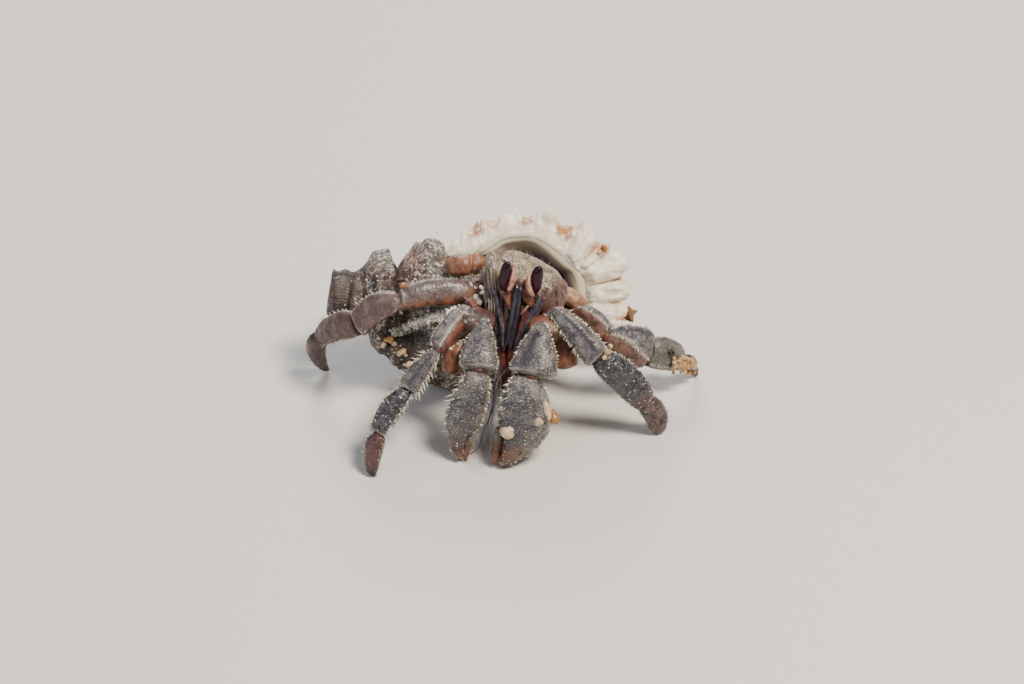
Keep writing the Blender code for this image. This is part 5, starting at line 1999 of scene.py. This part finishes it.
@dataclass
class Head:
    """The domed shield and the front and sides of the head, as one skin with eyes and small limbs."""

    voxel: float = 0.075
    # middle in steps from the right eye, and half sizes, of what fills the head out under the shield
    fillings: tuple[tuple[tuple[float, float, float], tuple[float, float, float]], ...] = (
        ((1.3, -0.9, -1.9), (2.2, 1.3, 1.9)), ((3.4, -0.9, -1.7), (0.9, 0.9, 0.9)),
        ((-0.75, -0.2, -1.7), (0.75, 1.0, 1.6)), ((-0.7, -2.4, -2.4), (0.7, 1.0, 1.8)),
        ((3.3, -2.1, -2.3), (1.15, 1.2, 1.7)), ((-1.0, -1.4, -2.9), (0.8, 1.2, 1.5)),
        ((-0.95, 0.95, -2.2), (0.6, 0.6, 1.2)), ((4.0, -1.5, -3.4), (0.75, 0.9, 1.1)),
        ((-1.5, 0.15, -2.7), (0.4, 0.55, 0.9)),
    )
    # lower edge of the granular part: steps to the left and up
    lower_edge: Table = (
        (-0.6, 0.3), (0.35, -1.0), (0.8, -0.25), (1.25, 0.0), (1.7, -0.25), (2.0, -0.9), (2.7, -1.3),
        (3.3, -1.1), (3.9, -0.5), (4.3, 0.0), (5.0, 0.6),
    )
    # each eye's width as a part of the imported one's, and how far it is moved
    eye_fit: dict[str, tuple[float, tuple[float, float, float]]] = field(default_factory=lambda: {
        "right": (0.95, (0.0, 0.0, 0.12)), "left": (1.05, (-0.1, 0.0, 0.0)),
    })
    eye_lean: float = 0.14      # to the side, for each step up
    hairs: int = 420
    seed: int = 21

    def skin(self) -> Piece:
        """Builds the head: a granular dome, an upright ribbed flank and a smooth one.

        Returns:
            The skin.
        """
        obj = grown_from("head_shield", ["carapace_shield", "face"], self.voxel, 16, [
            (from_facing(middle_steps), half) for middle_steps, half in self.fillings
        ])
        points = coordinates(obj)
        a, b, _ = facing_place(points)
        slump = 0.38 * np.clip(a - 0.4, 0, 4) * fade(b, -1.0, 0.7)
        points = points - slump[:, None] * ACROSS_MOUTH
        write_coordinates(obj, points)
        a, b, f = facing_place(points)
        edge = np.array(self.lower_edge)
        left_line = np.maximum((b - 0.3) + 1.8 * (a + 0.6), 2.5 * (b - 0.65))
        soft = 0.15 + 0.35 * fade(a, 2.4, 3.0)
        over_edge = (b - np.interp(a, edge[:, 0], edge[:, 1])) / soft
        dome = fade(over_edge, -1.0, 1.0) * fade(left_line, -0.25, 0.25)
        dome = np.maximum(dome, fade(f, -2.8, -3.6) * fade(b, -1.2, -0.6) * fade(a, 3.1, 2.5))
        lathed = (1 - dome) * fade(a, 0.0, -0.4)
        smooth = (1 - dome) * fade(a, 2.9, 3.3)
        under = np.clip(1 - dome - lathed - smooth, 0, 1)
        grain, pits = grains(points, 0.2, self.seed), grains(points, 0.34, self.seed + 5)
        pit = pits * (grain < 0.25)
        eyes = bell(np.hypot(a, b), 0.0, 0.75) + bell(np.hypot(a - 2.43, b + 0.1), 0.0, 0.75)
        laths = np.sin((a + 0.1 * b) * FULL / 0.27 + 0.8 * lumps(points, 1.2, 31))
        seam = bell(a + 0.12 * b, 3.75, 0.12) * fade(b, -0.3, -0.8)
        neck = bell(f - 0.25 * (a - 1.6) ** 2, -3.4, 0.18) * fade(a, -0.6, 0.2)
        height = dome * (0.055 * grain - 0.09 * pit + 0.06 * lumps(points, 0.8, self.seed)) - 0.14 * neck
        height += lathed * 0.07 * laths - 0.16 * seam + under * 0.06 * lumps(points, 0.5, 33) - 0.3 * eyes
        height += 0.05 * smooth * lumps(points, 1.1, 34)
        raised(obj, height)
        # painted shade in the pits, in the neck groove, in the seam and between the laths
        dark = dome * (0.8 * pit + 0.6 * neck) + lathed * (0.35 + 0.45 * fade(-laths, 0.0, 0.9)) + 0.8 * seam
        # pale lines on the lath crests: partly the plate's pale striations, partly painted highlight
        pale = 0.3 * lathed * fade(laths, 0.3, 0.9) * (0.6 + 0.4 * lumps(points, 0.3, 35))
        write_marks(obj, {
            "upper": np.clip(dome + 0.7 * lathed + 0.1 * smooth, 0, 1),
            "granule": dome * np.clip(0.35 + grain, 0, 1) + 0.2 * lathed,
            "stripe": np.clip(dark, 0, 1),
            "margin": np.clip(pale, 0, 1),
            # the face darkens towards the mouth in the horn colour: painted shade under the head
            "horn_tip_and_shade": 0.5 * under * fade(b, -1.8, -3.0),
        })
        return obj

    def fringe(self, skin: Piece) -> Piece:
        """Sets short stiff hairs on the dome and the flank.

        Args:
            skin: the head's finished skin.

        Returns:
            The hairs.
        """
        rng = np.random.default_rng(self.seed)
        points, ways = coordinates(skin), normals_of(skin)
        a, b, _ = facing_place(points)
        chance = (0.15 + fade(b, 0.8, 1.8)) * fade(b, -2.5, -1.0)
        picks = rng.choice(len(points), self.hairs, replace=False, p=chance / chance.sum())
        way = unit(ways[picks] + rng.normal(0, 0.25, (self.hairs, 3)) + (0, -0.2, 0.3))
        length = rng.uniform(0.15, 0.45, self.hairs)
        size = columns(0.012 + 0.02 * length, 0.012 + 0.02 * length, length)
        place = columns((a[picks] + 3) / 9, (b[picks] + 6) / 9)
        hairs = Strewn(points[picks] - 0.03 * way, way, size, rng.uniform(0.2, 1, self.hairs), place)
        return hairs.mesh("head_hairs", bristle(), rng)

    def eye(self, side: str) -> None:
        """Builds one upright oval eye under its clear cuticle.

        Args:
            side: right or left.
        """
        low, high = (np.array(corner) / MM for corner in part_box(f"eye_{side}"))
        centre, half = (low + high) / 2, (high - low) / 2
        deselect()
        bpy.ops.mesh.primitive_uv_sphere_add(segments=48, ring_count=32, radius=1.0)
        obj = bpy.context.active_object
        obj.name = obj.data.name = f"eye_{side}_lens"
        points = coordinates(obj) * MM
        write_marks(obj, {"along": points[:, 2] * 0.5 + 0.5})
        boxy = np.sqrt((1 - np.abs(points[:, 2]) ** 2.8) / np.maximum(1 - points[:, 2] ** 2, 1e-6))
        points[:, :2] *= np.clip(boxy, 1.0, 1.5)[:, None]
        width, shift = self.eye_fit[side]
        points = points * half * (width, 1.0, 1.2) + shift
        points[:, 0] += self.eye_lean * points[:, 2]
        write_coordinates(obj, points + centre)
        edited(obj, lambda: bpy.ops.mesh.faces_shade_smooth())
        shown(obj, LENS, [f"eye_{side}"])

    def build(self) -> None:
        """Builds and dresses the head."""
        skin = self.skin()
        shown(self.fringe(skin), HAIR)
        shown(skin, HEAD, ["carapace_shield", "face"])
        for side in ("right", "left"):
            self.eye(side)
            cheek = grown_from(f"cheek_{side}_skin", [f"cheek_{side}"], self.voxel, 8)
            points = coordinates(cheek)
            laths = np.sin(points[:, 0] * FULL / 0.3 + 1.2 * lumps(points, 1.4, 36))
            hidden = 0.55 * fade(facing_place(points)[1], 0.2, 0.9)
            write_coordinates(cheek, points - 2.4 * hidden[:, None] * FACING)
            raised(cheek, 0.06 * laths * (1 - hidden) + 0.05 * lumps(points, 0.5, 37) - 0.06 - hidden)
            # dark between the laths is painted shade; the pale crest lines are partly pale striations, partly painted
            # highlight
            lines = {"margin": 0.3 * fade(laths, 0.4, 0.9), "stripe": 0.7 * fade(-laths, 0, 1)}
            write_marks(cheek, lines | {"upper": 0.7, "granule": 0.2})
            shown(cheek, FLANK, [f"cheek_{side}"])
        for strand in STRANDS:
            strand.build()


@dataclass
class Body:
    """The soft flesh inside the shell and the short hind legs that grip its rim."""

    voxel: float = 0.14

    def flesh(self) -> Piece:
        """Builds the trunk and the start of the soft abdomen.

        Returns:
            One wrinkled skin.
        """
        obj = grown_from("soft_body", ["trunk", "abdomen"], self.voxel, 12)
        points = coordinates(obj)
        folds = np.sin(points[:, 1] * FULL / 0.8 + 2.0 * lumps(points, 1.5, 41))
        raised(obj, 0.04 * folds + 0.06 * lumps(points, 0.6, 42) - 0.08)
        return obj

    def build(self) -> None:
        """Builds and dresses the flesh and the hind legs."""
        shown(self.flesh(), SKIN, ["trunk", "abdomen"])
        for side in ("right", "left"):
            leg = grown_from(f"hind_leg_{side}", [f"leg4_{side}"], 0.07, 12)
            points = coordinates(leg)
            if side == "left":
                write_coordinates(leg, points - 0.5 * ACROSS_MOUTH)
            crease = bell(points[:, 0], middle(f"leg4_{side}")[0] + 0.45, 0.14) * (side == "right")
            raised(leg, 0.08 + 0.07 * lumps(points, 0.7, 51) + 0.03 * lumps(points, 0.25, 52) - 0.2 * crease)
            shown(leg, AMBER if side == "right" else TAN, [f"leg4_{side}"])


@dataclass
class Whips:
    """The two long thin feelers that hang between the claws."""

    radius: float = 0.08
    ring: float = 0.6           # rings of a packed whip lie farther apart than this
    joints: int = 44
    joint_depth: float = 0.12   # of the radius

    def line(self, side: str) -> Array:
        """Reads a packed whip.

        Args:
            side: right or left.

        Returns:
            The middles of its rings from the top down, each after its number.
        """
        left = list(np.unique(node_points(f"antenna_{side}").round(3), axis=0))
        centres = []
        while left:
            near = [p for p in left if np.linalg.norm(p - left[0]) < self.ring]
            left = [p for p in left if np.linalg.norm(p - near[0]) >= self.ring]
            centres.append(np.mean(near, axis=0))
        centres.sort(key=lambda p: -p[2])
        return np.array([[i, *centre] for i, centre in enumerate(centres)])

    def whip(self, side: str) -> Piece:
        """Builds one long whip with fine joints along it.

        Args:
            side: right or left.

        Returns:
            The whip.
        """
        knots = self.line(side)
        last = len(knots) - 1

        def shape(u: Array, v: Array) -> Skin:
            """A thin tapering thread.

            Args:
                u: places along it, 0 to 1.
                v: places round it, 0 to 1.

            Returns:
                The points, and no marks.
            """
            at, ahead, behind = (
                columns(*(flowing(u * last + step, knots, k) for k in (1, 2, 3)))
                for step in (0.0, 0.05, -0.05)
            )
            along = unit(ahead - behind)
            side_way = unit(np.cross(along, FACING))
            front = np.cross(side_way, along)
            joints = 1 + self.joint_depth * np.cos(u * FULL * self.joints)
            closing = closed(u, 0.01)
            radius = self.radius * (1.15 - 0.6 * u) * joints * closing
            angle = v * FULL
            return at + (side_way * np.cos(angle)[:, None] + front * np.sin(angle)[:, None]) * radius[:, None], {}

        return rolled(f"whip_{side}", 360, 10, shape)

    def build(self) -> None:
        """Builds and dresses both whips."""
        for side in ("right", "left"):
            shown(self.whip(side), FEELER, [f"antenna_{side}"])


@dataclass(frozen=True)
class Scrap:
    """A grain or bead on the animal: steps to the left and up from the right eye, and its own size.

    It is half as wide and half as high as given, leans by an angle, and sinks in by a part of its depth.
    """

    left: float
    up: float
    half_width: float
    half_height: float
    lean: float = 0.0
    tone: float = 0.2
    sunk: float = 0.3


SCRAPS = tuple(Scrap(*row) for row in (
    (0.18, -11.75, 0.56, 0.4, 20, 0.3), (0.5, -11.5, 0.3, 0.26, 60, 0.2),
    (2.55, -10.95, 0.28, 0.3, 0, 0.45, 0.5),
    (3.15, -10.06, 0.28, 0.74, -12, 0.25, 0.6), (3.72, -10.6, 0.36, 0.66, -10, 0.95, 0.9),
    (-9.05, -4.75, 0.34, 0.3, 10, 0.85), (-9.4, -5.1, 0.28, 0.26, 0, 0.2),
    (-8.6, -5.0, 0.2, 0.16, 0, 0.5), (-8.1, -5.75, 0.42, 0.36, -20, 0.5),
    (-7.2, -6.6, 0.22, 0.2, 0, 0.6), (-7.66, -0.56, 0.22, 0.2, 0, 0.95),
    (7.88, 2.5, 0.3, 0.28, 0, 1.0, 0.0), (7.5, 2.2, 0.2, 0.16, 0, 0.6, 0.0),
    (7.8, -5.6, 0.26, 0.22, 40, 0.7), (7.5, -6.1, 0.2, 0.16, -30, 0.6),
    (8.0, -5.2, 0.18, 0.16, 0, 0.5),
    # two pale beads on the rostrum's tip stand in for a painted glint
    (0.95, -0.8, 0.13, 0.1, 0, 0.0, 0.0), (1.2, -0.85, 0.1, 0.08, 0, 0.0, 0.0),
))
PEARLS = tuple(Scrap(*row) for row in (
    (-2.6, -0.5, 0.3, 0.2, 70, 0.1, 0.6), (-2.2, -0.75, 0.26, 0.22, 0, 0.3, 0.6),
    (-1.8, -0.75, 0.3, 0.26, 40, 0.2, 0.6), (-1.75, -1.15, 0.28, 0.24, 0, 0.6, 0.7),
    (-2.15, -1.55, 0.42, 0.36, 20, 0.5, 0.6), (-1.95, -1.9, 0.34, 0.3, 0, 0.7, 0.6),
    (-2.9, -4.6, 0.13, 0.12, 0, 0.1), (-3.1, -4.75, 0.16, 0.13, 0, 0.0),
    (-3.35, -4.85, 0.15, 0.14, 0, 0.3), (-3.55, -5.05, 0.17, 0.14, 0, 0.0),
    (-3.85, -5.2, 0.14, 0.12, 0, 0.2), (-4.05, -5.4, 0.16, 0.13, 0, 0.1),
    (-3.3, -5.1, 0.12, 0.1, 0, 0.4),
))


@dataclass
class Debris:
    """Sand grains, scraps and beads that stick to the damp animal."""

    bead_row: tuple[float, float] = (-8.3, -3.7)    # along the underside of the spire
    bead_count: int = 70
    clump_at: tuple[float, float] = (14.1, -6.75)
    clump_half: tuple[float, float] = (1.15, 0.75)
    clump_count: int = 110
    black_at: tuple[float, float] = (12.95, -5.8)
    seed: int = 31

    def surface_at(self, left: float, up: float, reach: float = 0.3) -> Array:
        """Finds the foremost point of the model near a place seen from the front.

        Args:
            left: steps to the left of the right eye.
            up: steps up from it.
            reach: how near a point has to be.

        Returns:
            The point.
        """
        near = np.hypot(self.places[0] - left, self.places[1] - up) < reach
        if not near.any():
            near = np.hypot(self.places[0] - left, self.places[1] - up) < 3 * reach
        rows = np.flatnonzero(near)
        front = rows[np.argmax(self.places[2][rows])]
        return from_facing(np.array([left, up, self.places[2][front]]))

    def strewn(self, scraps: Sequence[Scrap], reach: float = 0.3) -> Strewn:
        """Sets scraps on the surface in front.

        Args:
            scraps: the scraps.
            reach: how near the surface is looked for.

        Returns:
            Their places.
        """
        lean = np.radians([scrap.lean for scrap in scraps])
        across = np.array([1.0, 0.0, 0.0])
        axis = np.cos(lean)[:, None] * ACROSS_MOUTH + np.sin(lean)[:, None] * across
        size = np.array([(s.half_width, s.half_width, s.half_height) for s in scraps])
        at = np.array([self.surface_at(s.left, s.up, reach) - FACING * s.half_width * s.sunk for s in scraps])
        tone = np.array([s.tone for s in scraps])
        place = columns((at[:, 0] + 16) / 33, (at[:, 2] + 1) / 17)
        return Strewn(at, axis, size, tone, place)

    def build(self) -> None:
        """Builds and dresses the grains."""
        self.places = facing_place(np.concatenate([coordinates(piece) for piece in PIECES]))
        rng = np.random.default_rng(self.seed)
        stuck = self.strewn(SCRAPS).mesh("stuck_grains", pebble(3), rng)
        points = coordinates(stuck)
        raised(stuck, 0.17 * lumps(points, 0.42, 61) + 0.05 * lumps(points, 0.18, 62))
        shown(stuck, SAND)
        pearls = self.strewn(PEARLS).mesh("pearly_grains", pebble(), rng)
        modified(pearls, "SUBSURF", levels=2, render_levels=2)
        raised(pearls, 0.07 * lumps(coordinates(pearls), 0.25, 63))
        shown(pearls, PEARL)
        lefts = rng.uniform(*self.bead_row, self.bead_count)
        halves = 0.07 + 0.13 * rng.random(self.bead_count) ** 1.5
        row = [
            Scrap(x, bead_line(x) + rng.normal(0, 0.16), w, w * rng.uniform(0.8, 1.2), 0, 0.7 * rng.random() ** 2)
            for x, w in zip(lefts, halves)
        ]
        beads = self.strewn(row, 0.12).mesh("spire_beads", pebble(), rng)
        modified(beads, "SUBSURF", levels=1, render_levels=1)
        shown(beads, WHITE_BEADS)
        spots = np.clip(rng.normal(0, 0.45, (self.clump_count, 2)), -0.75, 0.75) * self.clump_half + self.clump_at
        clump = [
            Scrap(x, y, w, w * rng.uniform(0.7, 1.3), rng.uniform(0, 90), rng.uniform(0.45, 1), -0.2)
            for (x, y), w in zip(spots, 0.1 + 0.22 * rng.random(self.clump_count) ** 2)
        ]
        shown(self.strewn(clump).mesh("sand_clump", pebble(), rng), SAND)
        flecks = [Scrap(12.15, -11.1, 0.09, 0.3, 70, 0.0, 0.0)]
        x, y = self.black_at
        flecks += [Scrap(x + dx, y + dy, 0.15, 0.2) for dx, dy in rng.normal(0, 0.09, (5, 2))]
        shown(self.strewn(flecks).mesh("black_scrap", pebble(), rng), SOOT)


# ---- studio


@dataclass
class Studio:
    """A plain pale floor, soft light from above, and the camera."""

    look_at: tuple[float, float, float] = (0.55, 0.2, -5.99)   # from the middle of the right eye
    away: float = 218.8
    lens: float = 100.0
    sensor: float = 36.0
    nearest: float = 0.005      # metres
    floor_half: float = 900.0
    air: str = "#C9CDD2"
    air_strength: float = 0.4

    def floor(self) -> None:
        """A pale flat sheet that fills the view."""
        deselect()
        bpy.ops.mesh.primitive_plane_add(size=2 * self.floor_half * MM, location=(0, 0, 0))
        obj = bpy.context.active_object
        obj.name = "floor"
        obj.data.materials.append(FLOOR.material())

    def lamp(self, name: str, at: Sequence[float], size: float, power: float, tint: str) -> None:
        """Adds one square area lamp that faces the crab.

        Args:
            name: its name.
            at: its place in millimetres.
            size: its side in millimetres.
            power: in watts.
            tint: hex value of its colour.
        """
        deselect()
        place = Vector(at) * MM
        bpy.ops.object.light_add(type="AREA", location=place)
        lamp = bpy.context.active_object
        lamp.name = name
        lamp.rotation_euler = (-place).to_track_quat("-Z", "Y").to_euler()
        lamp.data.size = size * MM
        lamp.data.energy = power
        lamp.data.color = linear(tint)[:3]

    def camera(self) -> None:
        """The camera, looking along +Y and down by 33 degrees."""
        target = Vector(middle("eye_right") + self.look_at) * MM
        back = Vector(FACING) * self.away * MM
        deselect()
        bpy.ops.object.camera_add(location=target + back)
        camera = bpy.context.active_object
        camera.rotation_euler = (-back).to_track_quat("-Z", "Y").to_euler()
        camera.data.lens = self.lens
        camera.data.sensor_width = self.sensor
        camera.data.clip_start = self.nearest
        bpy.context.scene.camera = camera

    def build(self) -> None:
        """Builds the floor, lights, surroundings and camera."""
        self.floor()
        self.lamp("key", (120, -90, 260), 80, 1.45, "#FFF4E6")
        self.lamp("fill", (-220, -160, 160), 240, 0.3, "#EAF0FF")
        self.lamp("rim", (-40, 260, 170), 120, 0.7, "#FFFFFF")
        world = bpy.data.worlds.new("studio")
        bpy.context.scene.world = world
        world.use_nodes = True
        air = world.node_tree.nodes["Background"]
        air.inputs["Color"].default_value = linear(self.air)
        air.inputs["Strength"].default_value = self.air_strength
        self.camera()


def main() -> None:
    """Builds the crab from the shell to its eyes, then the studio."""
    logging.basicConfig(level=logging.INFO, format="%(name)s: %(message)s")
    RockShell().build()
    Head().build()
    Body().build()
    Whips().build()
    for limb in LIMBS:
        limb.build()
    Debris().build()
    Studio().build()
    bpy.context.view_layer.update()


if __name__ == "__main__":
    main()
